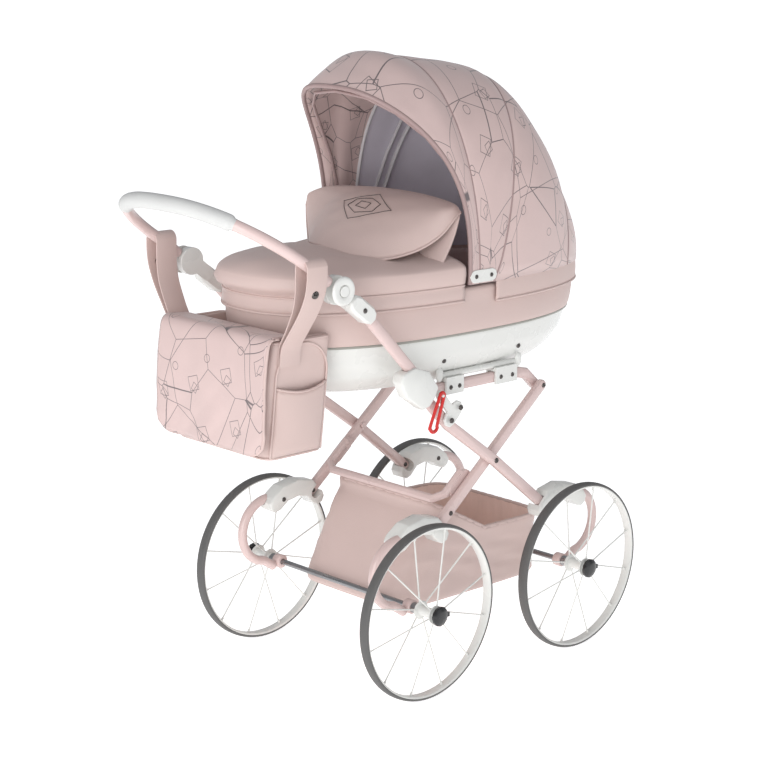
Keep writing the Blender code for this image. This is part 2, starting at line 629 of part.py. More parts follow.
def build_handle():
    """Height joints with push buttons, U-shaped bar with its foam grip, and the strap collars."""
    pivot = side(HANDLE_PIVOT, 0)
    route = bar_route()
    bar = solid("handle_bar", *loft(pipe(route, BAR_RADIUS, ROUND)), PAINT, pivot)
    for hand, sign in (("right", -1), ("left", 1)):
        build_joint(bar, hand, sign, pivot)
        strap = side(BAR_ARM[1], sign * HANDLE_TUBE_Y)
        ahead = (side(BAR_ARM[1], 0) - side(BAR_ARM[0], 0)).normalized()
        collar = pipe((strap - ahead * 0.011, strap + ahead * 0.011), COLLAR_RADIUS, ROUND)
        combine(bar, solid(f"collar_{hand}", *loft(collar), LEATHER), "UNION")
    gripped = [i for i, p in enumerate(route) if abs(p.y) < GRIP_HALF_SPAN]
    outside = pipe(route, GRIP_RADIUS, ROUND)[gripped[0]:gripped[-1] + 1]
    inside = pipe(route, BAR_RADIUS + GAP, ROUND)[gripped[0]:gripped[-1] + 1]
    solid("grip", *loft(outside + inside[::-1], closed=True), FOAM, pivot)


def build_joint(bar, hand, sign, pivot):
    """White sleeve and half disc on the lower tube, half disc and button on the bar."""
    inner_y = HANDLE_TUBE_Y - DISC_HALF
    low, high = sorted((sign * inner_y, sign * (HANDLE_TUBE_Y - GAP)))
    housing = cylinder_y(f"joint_housing_{hand}", HANDLE_PIVOT, low, high, DISC_RADIUS, WHITE, 20)
    along = (Vector(HANDLE_PIVOT) - Vector(HANDLE_TUBE_TOP)).normalized()
    start = Vector(HANDLE_TUBE_TOP) - along * 0.004
    sleeve = plate(f"sleeve_{hand}", strip((start, Vector(HANDLE_PIVOT) - along * SLEEVE_END), 0.0230, 4),
                   *between(HANDLE_TUBE_Y, 0.0190, sign), WHITE, 0.0030, segments=1)
    neck = plate(f"neck_{hand}", strip((Vector(HANDLE_PIVOT) - along * SLEEVE_END, HANDLE_PIVOT), 0.0200, 4),
                 low, high, WHITE)
    combine(housing, sleeve, "UNION")
    combine(housing, neck, "UNION")
    tube = plate(f"sleeve_bore_{hand}", strip((HANDLE_TUBE_FOOT, HANDLE_TUBE_TOP), TUBE_WIDTH + 2 * GAP),
                 *between(HANDLE_TUBE_Y, TUBE_THICKNESS + 2 * GAP, sign), WHITE)
    combine(housing, tube, "DIFFERENCE")
    low, high = sorted((sign * HANDLE_TUBE_Y, sign * (HANDLE_TUBE_Y + DISC_HALF)))
    disc = cylinder_y(f"disc_{hand}", HANDLE_PIVOT, low, high, DISC_RADIUS, WHITE, 20)
    combine(bar, disc, "UNION")
    arm = (Vector(BAR_ARM[1]) - Vector(HANDLE_PIVOT)).normalized()
    socket = plate(f"arm_socket_{hand}", strip((Vector(HANDLE_PIVOT) + arm * 0.010,
                                                Vector(HANDLE_PIVOT) + arm * ARM_SOCKET), 0.0190, 4),
                   *sorted((sign * (HANDLE_TUBE_Y + 0.0004), sign * (HANDLE_TUBE_Y + DISC_HALF - 0.0005))), WHITE)
    combine(bar, socket, "UNION")
    floor_y = HANDLE_TUBE_Y + 0.0020
    pocket = cylinder_y(f"button_pocket_{hand}", HANDLE_PIVOT,
                        *sorted((sign * floor_y, sign * (HANDLE_TUBE_Y + DISC_HALF + 0.002))),
                        BUTTON_RADIUS + RUNNING, WHITE, 16)
    combine(bar, pocket, "DIFFERENCE")
    start_y = floor_y + BUTTON_TRAVEL + GAP
    face_y = HANDLE_TUBE_Y + DISC_HALF + BUTTON_PROUD
    cylinder_y(f"button_{hand}", HANDLE_PIVOT, *sorted((sign * start_y, sign * face_y)), BUTTON_RADIUS,
               WHITE, 16, side(HANDLE_PIVOT, sign * HANDLE_TUBE_Y))


def plan_ring(z, grow, half_length, half_width, power=COT_POWER, count=PLAN_COUNT):
    """The carrycot's plan outline at a height, grown outwards by a distance."""
    return [Vector((REAR_AXLE_X + COT_X + x, y, z))
            for x, y in superellipse(half_length + grow, half_width + grow, power, count)]


def shell_levels():
    """Heights of the moulded shell with how far each lies inside the belt's outline."""
    belt_l = BELT_LENGTH / 2
    belt_w = BELT_WIDTH / 2
    height = PIPING_Z - SHELL_BOTTOM
    levels = []
    for share, inset_l, inset_w in ((0.0, 0.090, 0.054), (0.05, 0.074, 0.0435), (0.14, 0.060, 0.0350),
                                    (0.34, 0.040, 0.0190), (0.62, 0.022, 0.0090), (1.0, 0.012, 0.0045)):
        levels.append((SHELL_BOTTOM + share * height, belt_l - inset_l, belt_w - inset_w))
    return levels


def build_carrycot():
    """White moulded tray with its two rods, padded lining and belt, and mattress."""
    levels = shell_levels()
    rings = [plan_ring(z, 0, a, b) for z, a, b in levels]
    inside = [plan_ring(max(z, SHELL_BOTTOM + SHELL_WALL), -SHELL_WALL, a, b) for z, a, b in levels]
    shell = solid("carrycot_shell", *loft(rings + inside[::-1]), WHITE)
    for hand, sign in (("right", -1), ("left", 1)):
        build_rod(shell, hand, sign)
    low = SHELL_BOTTOM + SHELL_WALL + GAP
    slack = SHELL_WALL + 3 * GAP
    outer = [plan_ring(max(z, low + GAP), -slack, a, b) for z, a, b in levels]
    top_z = PIPING_Z + GAP
    belt_l = BELT_LENGTH / 2
    belt_w = BELT_WIDTH / 2
    outer[-1] = plan_ring(top_z, -slack, levels[-1][1], levels[-1][2])
    belt = [plan_ring(top_z, 0.0012, levels[-1][1], levels[-1][2]),
            plan_ring(top_z + 0.004, 0.0040, levels[-1][1], levels[-1][2]),
            plan_ring(BELT_TOP - 0.022, 0, belt_l, belt_w),
            plan_ring(BELT_TOP - 0.002, 0, belt_l, belt_w),
            plan_ring(BELT_TOP, -0.003, belt_l, belt_w),
            plan_ring(BELT_TOP, -PAD_THICKNESS, belt_l, belt_w)]
    lining = [plan_ring(top_z, -PAD_THICKNESS, levels[-1][1], levels[-1][2])]
    lining += [plan_ring(max(z, low + GAP + 0.004), -PAD_THICKNESS + 0.004, a, b) for z, a, b in levels[-2::-1]]
    solid("carrycot_lining", *loft(outer + belt + lining), LEATHER)
    floor = low + 0.004 + 2 * GAP
    z, a, b = levels[1]
    mattress = [plan_ring(floor, -PAD_THICKNESS - 0.004, a, b), plan_ring(floor + 0.006, -PAD_THICKNESS, a, b),
                plan_ring(floor + MATTRESS_THICKNESS - 0.006, -PAD_THICKNESS, a, b),
                plan_ring(floor + MATTRESS_THICKNESS, -PAD_THICKNESS - 0.008, a, b)]
    solid("mattress", *loft(mattress), LINING)


def build_rod(shell, hand, sign):
    """Round rod under the shell's edge, on two feet screwed to the shell."""
    back = SADDLE_BACK[0] - 0.004
    front = SADDLE_FRONT[1] + 0.004
    rod = pipe((side((back, ROD_Z), sign * RAIL_Y), side((front, ROD_Z), sign * RAIL_Y)), ROD_RADIUS, ROUND)
    combine(shell, solid(f"rod_{hand}", *loft(rod), WHITE), "UNION")
    for where, x in (("back", back - 0.0035), ("front", front + 0.0035)):
        foot = plate(f"rod_foot_{where}_{hand}",
                     strip(((x, ROD_Z), (x, ROD_Z + 0.0100)), 0.0120, 4),
                     *sorted((sign * (RAIL_Y + 0.0025), sign * (RAIL_Y + 0.0085))), WHITE)
        combine(shell, foot, "UNION")


def arch(x_foot, half_width, foot_z, apex_x, apex_z, power, count, sweep=1.0):
    """A bowed arch from the right side over to the left, leaning from its feet to its top.

    A sweep above 1 keeps it upright low down and leans it only near the top.
    """
    points = []
    for k in range(count + 1):
        angle = math.pi * k / count
        across = -math.copysign(abs(math.cos(angle)) ** (2 / power), math.cos(angle)) * half_width
        up = abs(math.sin(angle)) ** (2 / power)
        points.append(Vector((REAR_AXLE_X + x_foot + (apex_x - x_foot) * up ** sweep, across,
                              foot_z + (apex_z - foot_z) * up)))
    return points


def skin(name, outer, inner, finish, origin=(0, 0, 0)):
    """Two grids of points, outer and inner, closed all round their edges."""
    rows = len(outer)
    columns = len(outer[0])
    verts = [v for row in outer for v in row] + [v for row in inner for v in row]
    shift = rows * columns
    faces = []
    for i in range(rows - 1):
        for k in range(columns - 1):
            a = i * columns + k
            quad = (a, a + 1, a + columns + 1, a + columns)
            faces.append(quad)
            faces.append(tuple(shift + v for v in quad[::-1]))
    edge = [k for k in range(columns)]
    edge += [i * columns + columns - 1 for i in range(1, rows)]
    edge += [(rows - 1) * columns + k for k in range(columns - 2, -1, -1)]
    edge += [i * columns for i in range(rows - 2, 0, -1)]
    for a, b in zip(edge, edge[1:] + edge[:1]):
        faces.append((a, b, shift + b, shift + a))
    return solid(name, verts, faces, finish, origin)


def belt_point(turn, grow):
    """Place on the belt's own many-sided outline, in degrees from the hood end, grown outwards."""
    ring = superellipse(BELT_LENGTH / 2 + grow, BELT_WIDTH / 2 + grow, COT_POWER, PLAN_COUNT)
    place = turn / 360 * PLAN_COUNT - 0.5
    i = int(place + 0.001)
    share = place - i
    x = ring[i][0] * (1 - share) + ring[i + 1][0] * share
    y = ring[i][1] * (1 - share) + ring[i + 1][1] * share
    return COT_X + x, y


def close_down(grid, z, at_start):
    """Flat end row of a soft cover, on the same plane as its last arch, evenly spaced."""
    row = grid[0] if at_start else grid[-1]
    row[0].z += 0.001
    row[-1].z += 0.001
    last = len(row) - 1
    foot = [Vector((row[0].x, row[0].y + (row[-1].y - row[0].y) * k / last, z)) for k in range(last + 1)]
    grid.insert(0 if at_start else len(grid), foot)


def build_apron():
    """Padded cover over the foot end, with its skirt outside the belt, and the raised flap."""
    step = 360 / PLAN_COUNT
    end_x = belt_point(90 + step / 2, 0)[0]
    end_turn = 90 + step / 2 * (COT_X - APRON_END_X) / (COT_X - end_x)
    turns = [180 - step * (i + 0.5) for i in range(PLAN_COUNT // 4)] + [end_turn]
    outer = []
    inner = []
    for i, turn in enumerate(turns):
        rise = APRON_TOP_Z - 0.0440 * (1 - min(i / (len(turns) - 3), 1.0)) ** 1.6
        for grid, grow, drop in ((outer, HOOD_CLEARANCE + CLOTH, 0.0),
                                 (inner, HOOD_CLEARANCE, CLOTH)):
            x, half = belt_point(turn, grow)
            lean = APRON_END_LEAN if i >= len(turns) - 2 else 0.0
            points = arch(x, half, max(rise - APRON_CROWN, BELT_TOP + 0.006), x - lean, rise - drop,
                          APRON_FULLNESS, 10)
            low = [Vector((p.x, p.y, APRON_SKIRT_Z)) for p in (points[0], points[-1])]
            grid.append([low[0]] + points + [low[1]])
    for grid in (outer, inner):
        close_down(grid, APRON_SKIRT_Z, True)
    skin("apron", outer, inner, LEATHER)
    build_flap()


def build_flap():
    """Padded wind flap on its round hem, folded over towards the handle, arched like the apron."""
    slope = (Vector(FLAP_FREE_EDGE) - Vector(FLAP_CREST)).normalized()
    down = Vector((slope.y, -slope.x))
    if down.y > 0:
        down = -down
    hem = Vector(FLAP_HEM)
    rings = []
    count = 14
    for k in range(count + 1):
        t = math.sin(math.pi / 2 * (2 * k / count - 1))
        across = FLAP_HALF_WIDTH * t
        lying = 1 - abs(across / (BELT_WIDTH / 2 + CLOTH)) ** APRON_FULLNESS
        sag = Vector((0.0, -APRON_CROWN * (1 - lying ** (1 / APRON_FULLNESS))))
        free = Vector(FLAP_FREE_EDGE) - slope * 0.060 * max(0.0, (abs(t) - 0.55) / 0.45) ** 2.2
        thick = FLAP_THICKNESS * max(1 - abs(t) ** 8, 0.15) ** 0.5
        web = hem + (Vector(FLAP_CREST) - hem) * 0.45
        crest = Vector(FLAP_CREST) - sag * 0.25
        ring = [crest, crest + down * thick * 0.35 - slope * thick * 0.5, crest + down * thick - slope * thick * 0.3]
        ring += [web + Vector((0.0040, 0.0020))]
        ring += arc(hem, FLAP_HEM_RADIUS, 20, -200, 6)
        ring += [web + Vector((-0.0045, -0.0020)), crest + down * thick + slope * 0.024]
        ring += [free + down * thick - slope * thick * 0.2, free + down * thick * 0.5 + slope * thick * 0.3, free]
        rings.append([side(Vector(c) + sag, across) for c in ring])
    solid("apron_flap", *loft(rings), LEATHER, side(FLAP_HEM, 0))


def hood_arch(row, grow, count=12):
    """One arch of the hood, from its foot on the belt, in degrees, to its top point."""
    turn, apex, power, sweep = row
    foot_x, half = belt_point(turn, grow)
    away = (Vector(apex) - Vector(HOOD_CENTRE)).normalized() * (grow - HOOD_CLEARANCE - CLOTH)
    top = Vector(apex) + away
    if row == HOOD_ROWS[-1]:
        top.x = foot_x
    return arch(foot_x, half, BELT_TOP + 0.004, top.x, top.y, power, count, sweep)


def build_hood():
    """Four-panel canopy, its two moving bows and the pivot brackets."""
    grids = []
    for grow in (HOOD_CLEARANCE + CLOTH, HOOD_CLEARANCE):
        grid = []
        for row in HOOD_ROWS:
            points = hood_arch(row, grow)
            low = [Vector((p.x, p.y, HOOD_SKIRT_Z)) for p in (points[0], points[-1])]
            grid.append([low[0]] + points + [low[1]])
        close_down(grid, HOOD_SKIRT_Z, False)
        grids.append(grid)
    fabric = skin("hood_fabric", *grids, PRINT)
    reach = BELT_WIDTH / 2 + 0.02
    hole = cylinder_y("hood_pin_holes", HOOD_PIVOT, -reach, reach, BOW_PIN_RADIUS + 2 * GAP, PRINT, 8)
    combine(fabric, hole, "DIFFERENCE")
    pivot = side(HOOD_PIVOT, 0)
    for name, row, inset in (("hood_front_bow", FRONT_BOW_ROW, 0.0045), ("hood_middle_bow", MIDDLE_BOW_ROW, 0.0095)):
        half = BELT_WIDTH / 2 - inset
        points = hood_arch(row, -inset)
        for end in (0, -1):
            points[end] = pivot + Vector((0, points[end].y, 0.0032))
            points[end].y = math.copysign(half, points[end].y)
        bow = solid(name, *loft(pipe(points, BOW_RADIUS, 6)), WHITE, pivot)
        for hand, sign in (("right", -1), ("left", 1)):
            ends = between(half, BOW_EYE_THICKNESS, sign)
            eye = cylinder_y(f"{name}_eye_{hand}", HOOD_PIVOT, *ends, BOW_EYE_RADIUS, WHITE, 10)
            combine(bow, eye, "UNION")
        hole = cylinder_y(f"{name}_hole", HOOD_PIVOT, -reach, reach, BOW_PIN_RADIUS + RUNNING, WHITE, 8)
        combine(bow, hole, "DIFFERENCE")
    for hand, sign in (("right", -1), ("left", 1)):
        face = BELT_WIDTH / 2 + HOOD_CLEARANCE + CLOTH + GAP
        spine = [(BRACKET_X[0] + BRACKET_WIDTH / 2, HOOD_PIVOT[1]), (BRACKET_X[1] - BRACKET_WIDTH / 2, HOOD_PIVOT[1])]
        bracket = plate(f"hood_bracket_{hand}", strip(spine, BRACKET_WIDTH, 4),
                        *sorted((sign * face, sign * (face + 0.0030))), WHITE)
        pin_end = BELT_WIDTH / 2 - 0.0120
        pin = cylinder_y(f"hood_pin_{hand}", HOOD_PIVOT, *sorted((sign * pin_end, sign * (face + 0.001))),
                         BOW_PIN_RADIUS, WHITE, 8)
        combine(bracket, pin, "UNION")


def bag_outline(z, grow):
    """The bag's plan outline at a height: rounded at the back, hollowed at the front."""
    share = (BAG_TOP_Z - z) / (BAG_TOP_Z - BAG_BOTTOM_Z)
    half = BAG_HALF_WIDTH - 0.016 * share + grow
    back = BAG_BACK_X - grow - 0.008 * math.sin(math.pi * min(share * 1.1, 1.0))
    middle = BAG_FRONT_X + grow + 0.036 * min(max(share - 0.3, 0.0) * 2.2, 1.0)
    front_corner = 0.010
    back_corner = 0.014
    points = []
    for y_share in (0.0, 0.78, 0.87):
        points.append((middle + (BAG_SIDE_FRONT_X - middle) * y_share ** 14, half * y_share))
    for edge, corner, start in ((BAG_SIDE_FRONT_X + grow - front_corner, front_corner, 0),
                                (back + back_corner, back_corner, 90)):
        points += arc((edge, half - corner), corner, start, start + 90, 2)
    other = [(x, -y) for x, y in points[:0:-1]]
    return [Vector((REAR_AXLE_X + x, y, z)) for x, y in points + other]


def build_bag():
    """Changing bag with its lid flap, hung from the handle by two straps."""
    hang = side(BAR_ARM[1], 0)
    heights = [BAG_BOTTOM_Z, BAG_BOTTOM_Z + 0.006, BAG_BOTTOM_Z + 0.040, BAG_BOTTOM_Z + 0.090,
               BAG_TOP_Z - 0.020, BAG_TOP_Z]
    outer = [bag_outline(z, -0.006 * (z == BAG_BOTTOM_Z)) for z in heights]
    inner = [bag_outline(max(z, BAG_BOTTOM_Z + BAG_WALL), -BAG_WALL - 0.004 * (z == BAG_BOTTOM_Z))
             for z in heights]
    bag = solid("bag", *loft(outer + inner[::-1]), LEATHER, hang)
    for hand, sign in (("right", -1), ("left", 1)):
        combine(bag, bag_strap(hand, sign, hang), "UNION")
    top = BAG_TOP_Z + 0.0006
    back = BAG_BACK_X - 0.0012
    section = [(BAG_FRONT_X, top), (back - 0.002, top + 0.001), (back - 0.008, top - 0.010),
               (back - 0.0135, top - 0.070), (back - 0.0135, top - BAG_FLAP_DROP),
               (back - 0.0165, top - BAG_FLAP_DROP), (back - 0.0170, top - 0.070),
               (back - 0.0115, top - 0.008), (back - 0.004, top + 0.0045), (BAG_FRONT_X, top + 0.0032)]
    half = BAG_HALF_WIDTH - 0.0026
    rings = [[side(p, y) for p in section] for y in (-half, -half / 2, 0, half / 2, half)]
    solid("bag_flap", *loft(rings), PRINT, side((BAG_FRONT_X, top), 0))


def bag_strap(hand, sign, hang):
    """Looped strap: two webs beside the bar that meet below it and run down to the bag."""
    gap = COLLAR_RADIUS + 0.0006
    web = 0.0014
    mid = HANDLE_TUBE_Y
    down = BAG_TOP_Z - 0.030
    edge = BAG_HALF_WIDTH - 0.0020
    section = ((mid + gap, hang.z + 0.006), (mid + gap + web, hang.z + 0.006), (mid + gap + web, hang.z - 0.0275),
               (mid + 0.0016, hang.z - 0.0505), (edge + 0.0030, BAG_TOP_Z + 0.004), (edge + 0.0030, down),
               (edge, down), (edge, BAG_TOP_Z + 0.004), (mid - 0.0016, hang.z - 0.0505),
               (mid - gap - web, hang.z - 0.0275), (mid - gap - web, hang.z + 0.006),
               (mid - gap, hang.z + 0.006), (mid - gap, hang.z - 0.0265), (mid, hang.z - 0.0425),
               (mid + gap, hang.z - 0.0265))
    rings = []
    for x in (hang.x - STRAP_WIDTH / 2, hang.x + STRAP_WIDTH / 2):
        rings.append([Vector((x, sign * y, z)) for y, z in section])
    return solid(f"strap_{hand}", *loft(rings), LEATHER)


def build_hoop():
    """U-shaped tube across the pram, bolted to both rear tubes, that carries the basket's hem."""
    along = (Vector(CROSSING) - Vector(REAR_TUBE_FOOT)).normalized()
    half = REAR_TUBE_Y - TUBE_THICKNESS / 2 - HOOP_RADIUS - GAP
    top = Vector(HOOP_AT) + along * 0.052
    low = Vector(HOOP_AT) + along * 0.012
    bend = 0.014
    right = [side(top, -half), side(low, -half), side(Vector(HOOP_AT), -half + bend)]
    left = [Vector((p.x, -p.y, p.z)) for p in right[::-1]]
    hoop = solid("basket_hoop", *loft(pipe(right + left, HOOP_RADIUS, 8, Vector((1, 0, 0)))), PAINT,
                 side(CROSSING, 0))
    down = Vector((along.y, -along.x)) * 0.0060
    for hand, sign in (("right", -1), ("left", 1)):
        face = REAR_TUBE_Y - TUBE_THICKNESS / 2 - GAP
        flat = plate(f"flat_end_{hand}", strip((low + along * 0.012 + down, top + down), 0.0180, 4),
                     *sorted((sign * face, sign * (face - 0.0050))), PAINT)
        combine(hoop, flat, "UNION")


def build_basket():
    """Soft basket slung between the axles and the hoop, open on top."""
    reach = AXLE_RADIUS + GAP + 0.0004
    wall = BASKET_WALL
    outline = ((reach + 0.004, BASKET_FLOOR_Z), (WHEELBASE - reach - 0.002, BASKET_FLOOR_Z),
               (WHEELBASE - reach, BASKET_FLOOR_Z + 0.006), (WHEELBASE - reach, BASKET_FRONT_TOP_Z),
               (0.1700, BASKET_FRONT_TOP_Z + 0.001), (HOOP_AT[0] + 0.012, HOOP_AT[1] - 0.004),
               (HOOP_AT[0] + 0.001, HOOP_AT[1] - 0.0080), (reach + 0.0005, WHEEL_RADIUS + 0.010),
               (reach, BASKET_FLOOR_Z + 0.012))
    basket = plate("basket", outline, -BASKET_HALF_WIDTH, BASKET_HALF_WIDTH, LEATHER)
    inner = ((reach + 0.006, BASKET_FLOOR_Z + wall), (WHEELBASE - reach - wall, BASKET_FLOOR_Z + wall),
             (WHEELBASE - reach - wall, BASKET_FRONT_TOP_Z + 0.01), (HOOP_AT[0] + 0.03, HOOP_AT[1] + 0.02),
             (HOOP_AT[0] + 0.0035, HOOP_AT[1] - 0.0050), (reach + 0.0045, WHEEL_RADIUS + 0.010))
    hollow = plate("basket_hollow", inner, -BASKET_HALF_WIDTH + wall, BASKET_HALF_WIDTH - wall, SATIN)
    combine(basket, hollow, "DIFFERENCE")


build_wheels()
build_springs_and_knuckles()
build_crossed_tubes()
build_rails()
build_lock()
build_handle()
build_carrycot()
build_apron()
build_hood()
build_bag()
build_hoop()
build_basket()
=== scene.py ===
import json
import math

import bpy
import bmesh
import numpy as np
from mathutils import Matrix, Vector


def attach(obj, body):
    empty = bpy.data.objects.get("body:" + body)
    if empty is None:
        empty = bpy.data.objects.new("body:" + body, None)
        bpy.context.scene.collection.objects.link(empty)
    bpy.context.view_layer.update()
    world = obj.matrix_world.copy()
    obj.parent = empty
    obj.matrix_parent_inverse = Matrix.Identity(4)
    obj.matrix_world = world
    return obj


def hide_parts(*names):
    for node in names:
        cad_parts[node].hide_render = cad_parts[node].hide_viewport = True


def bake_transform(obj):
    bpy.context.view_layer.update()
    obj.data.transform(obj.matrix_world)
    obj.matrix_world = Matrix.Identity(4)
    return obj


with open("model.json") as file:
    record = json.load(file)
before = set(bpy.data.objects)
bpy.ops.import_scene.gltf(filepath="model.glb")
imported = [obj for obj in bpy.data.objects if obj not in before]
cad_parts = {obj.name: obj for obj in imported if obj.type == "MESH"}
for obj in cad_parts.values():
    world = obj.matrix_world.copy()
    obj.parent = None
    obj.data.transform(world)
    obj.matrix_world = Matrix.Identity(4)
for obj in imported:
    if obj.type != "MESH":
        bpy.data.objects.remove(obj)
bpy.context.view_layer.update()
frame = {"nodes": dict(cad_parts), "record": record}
nodes = frame["nodes"]

# Camera, floor and light
# The camera stands level with the hood's top, off the handle's right corner, and looks a little down.
# The floor is pale and plain, under one wide soft light from above and two from the sides.
AXLE_X = -0.0519
EYE = Vector((-1.8422, -1.8852, 0.9946))
AIM = Vector((0.0215, 0.0, 0.3892))
ROLL = math.radians(0.972)
LENS_MM = 93.03
SENSOR_MM = 36.0


def aim_camera():
    """Points the camera from EYE to AIM, rolled about its own line of sight."""
    back = (EYE - AIM).normalized()
    level = Vector((0, 0, 1)).cross(back).normalized()
    rise = back.cross(level)
    right = level * math.cos(ROLL) + rise * math.sin(ROLL)
    up = rise * math.cos(ROLL) - level * math.sin(ROLL)
    data = bpy.data.cameras.new("camera")
    data.lens = LENS_MM
    data.sensor_width = SENSOR_MM
    data.clip_end = 60.0
    camera = bpy.data.objects.new("camera", data)
    bpy.context.scene.collection.objects.link(camera)
    camera.matrix_world = Matrix.Translation(EYE) @ Matrix((right, up, back)).transposed().to_4x4()
    bpy.context.scene.camera = camera


def tone(red, green, blue):
    """A colour as seen on screen, 0 to 255, as linear light with full alpha."""
    def linear(value):
        value /= 255
        return value / 12.92 if value <= 0.04045 else ((value + 0.055) / 1.055) ** 2.4
    return (linear(red), linear(green), linear(blue), 1.0)


def soft_light(name, place, size, power):
    """A square soft box that faces the carrycot."""
    data = bpy.data.lights.new(name, "AREA")
    data.size = size
    data.energy = power
    lamp = bpy.data.objects.new(name, data)
    lamp.location = place
    lamp.rotation_euler = (Vector((0, 0, 0.4)) - Vector(place)).to_track_quat("-Z", "Y").to_euler()
    bpy.context.scene.collection.objects.link(lamp)


def build_studio():
    """The floor is one plane, 80 m wide, that fills the camera's whole view."""
    reach = 40.0
    verts = [(-reach, -reach, 0), (reach, -reach, 0), (reach, reach, 0), (-reach, reach, 0)]
    quads = [(0, 1, 2, 3)]
    mesh = bpy.data.meshes.new("floor")
    mesh.from_pydata(verts, [], quads)
    mesh.shade_smooth()
    paper = bpy.data.materials.new("floor_paper")
    paper.use_nodes = True
    paper.node_tree.nodes["Principled BSDF"].inputs["Base Color"].default_value = tone(250, 250, 250)
    paper.node_tree.nodes["Principled BSDF"].inputs["Roughness"].default_value = 0.9
    paper.node_tree.nodes["Principled BSDF"].inputs["Emission Color"].default_value = (1.0, 1.0, 1.0, 1.0)
    paper.node_tree.nodes["Principled BSDF"].inputs["Emission Strength"].default_value = 0.75
    mesh.materials.append(paper)
    floor = bpy.data.objects.new("floor", mesh)
    bpy.context.scene.collection.objects.link(floor)
    world = bpy.data.worlds.new("studio")
    world.use_nodes = True
    world.node_tree.nodes["Background"].inputs["Color"].default_value = (0.94, 0.96, 1.0, 1.0)
    tree = world.node_tree
    tree.nodes["Background"].inputs["Strength"].default_value = 0.46
    seen = tree.nodes.new("ShaderNodeBackground")
    seen.inputs["Strength"].default_value = 1.0
    choice = tree.nodes.new("ShaderNodeMixShader")
    ray = tree.nodes.new("ShaderNodeLightPath")
    tree.links.new(ray.outputs["Is Camera Ray"], choice.inputs[0])
    tree.links.new(tree.nodes["Background"].outputs[0], choice.inputs[1])
    tree.links.new(seen.outputs[0], choice.inputs[2])
    tree.links.new(choice.outputs[0], tree.nodes["World Output"].inputs["Surface"])
    bpy.context.scene.world = world
    soft_light("key", (-2.6, -1.1, 0.9), 1.8, 38)
    soft_light("side", (0.8, -3.0, 0.9), 2.0, 7)
    soft_light("top", (0.6, 0.3, 3.0), 2.4, 2)


aim_camera()
build_studio()
bpy.context.scene.view_settings.view_transform = "Standard"

# Wheels
# Moulded white rims on twelve thin steel spokes, laced in turn to the two flanges of a white hub.
# A solid grey rubber tyre is stretched into each rim and runs on its own on the fixed axles.
WHEEL_RADIUS = 0.1200
TRACK_HALF = 0.1640
WHEEL_CENTRES = {"rear": AXLE_X, "front": AXLE_X + 0.3043}
HUB_HALF = 0.0180
SPOKE_COUNT = 12


def link(node_a, out, node_b, into):
    node_a.id_data.links.new(node_a.outputs[out], node_b.inputs[into])


def finish(name, colour, rough, mottle=0.10, mottle_size=0.05, grain=0.0008, bump=0.15, metal=0.0,
           spread=0.10, pores=False, **sockets):
    """A material whose colour wanders between a darker and a lighter tone over mottle_size metres.

    Its roughness wanders with it, and a fine noise, or round pores, of grain metres raises the surface.
    """
    material = bpy.data.materials.new(name)
    material.use_nodes = True
    tree = material.node_tree
    shader = tree.nodes["Principled BSDF"]
    place = tree.nodes.new("ShaderNodeTexCoord")
    cloud = tree.nodes.new("ShaderNodeTexNoise")
    cloud.inputs["Scale"].default_value = 1 / mottle_size
    cloud.inputs["Detail"].default_value = 4
    link(place, "Object", cloud, "Vector")
    shade = tree.nodes.new("ShaderNodeMix")
    shade.name = "shade"
    shade.data_type = "RGBA"
    red, green, blue, _ = tone(*colour)
    shade.inputs[6].default_value = (red * (1 - mottle), green * (1 - mottle), blue * (1 - mottle), 1)
    shade.inputs[7].default_value = (min(red * (1 + mottle), 1), min(green * (1 + mottle), 1),
                                     min(blue * (1 + mottle), 1), 1)
    link(cloud, "Fac", shade, 0)
    tree.links.new(shade.outputs[2], shader.inputs["Base Color"])
    wear = tree.nodes.new("ShaderNodeMapRange")
    wear.inputs["From Min"].default_value = 0.3
    wear.inputs["From Max"].default_value = 0.7
    wear.inputs["To Min"].default_value = max(rough - spread, 0.02)
    wear.inputs["To Max"].default_value = min(rough + spread, 1)
    link(cloud, "Fac", wear, "Value")
    link(wear, "Result", shader, "Roughness")
    fine = tree.nodes.new("ShaderNodeTexVoronoi" if pores else "ShaderNodeTexNoise")
    fine.name = "fine"
    fine.inputs["Scale"].default_value = 1 / grain
    link(place, "Object", fine, "Vector")
    raised = tree.nodes.new("ShaderNodeBump")
    raised.name = "raised"
    raised.inputs["Strength"].default_value = bump
    raised.inputs["Distance"].default_value = grain * 0.5
    tree.links.new(fine.outputs[0], raised.inputs["Height"])
    link(raised, "Normal", shader, "Normal")
    shader.inputs["Metallic"].default_value = metal
    for socket, value in sockets.items():
        shader.inputs[socket.replace("_", " ")].default_value = value
    return material


white_plastic = finish("moulded_white", (220, 220, 216), 0.30, 0.03, 0.04, 0.0012, 0.05,
                       Coat_Weight=0.25, Coat_Roughness=0.15)
rubber = finish("grey_rubber", (92, 91, 90), 0.62, 0.14, 0.02, 0.0009, 0.25)
axle_steel = finish("axle_steel", (150, 150, 152), 0.30, 0.08, 0.02, 0.0006, 0.06, metal=1.0)
black_plastic = finish("black_gloss", (22, 22, 24), 0.26, 0.10, 0.02, 0.0008, 0.06,
                       Coat_Weight=0.3, Coat_Roughness=0.1)


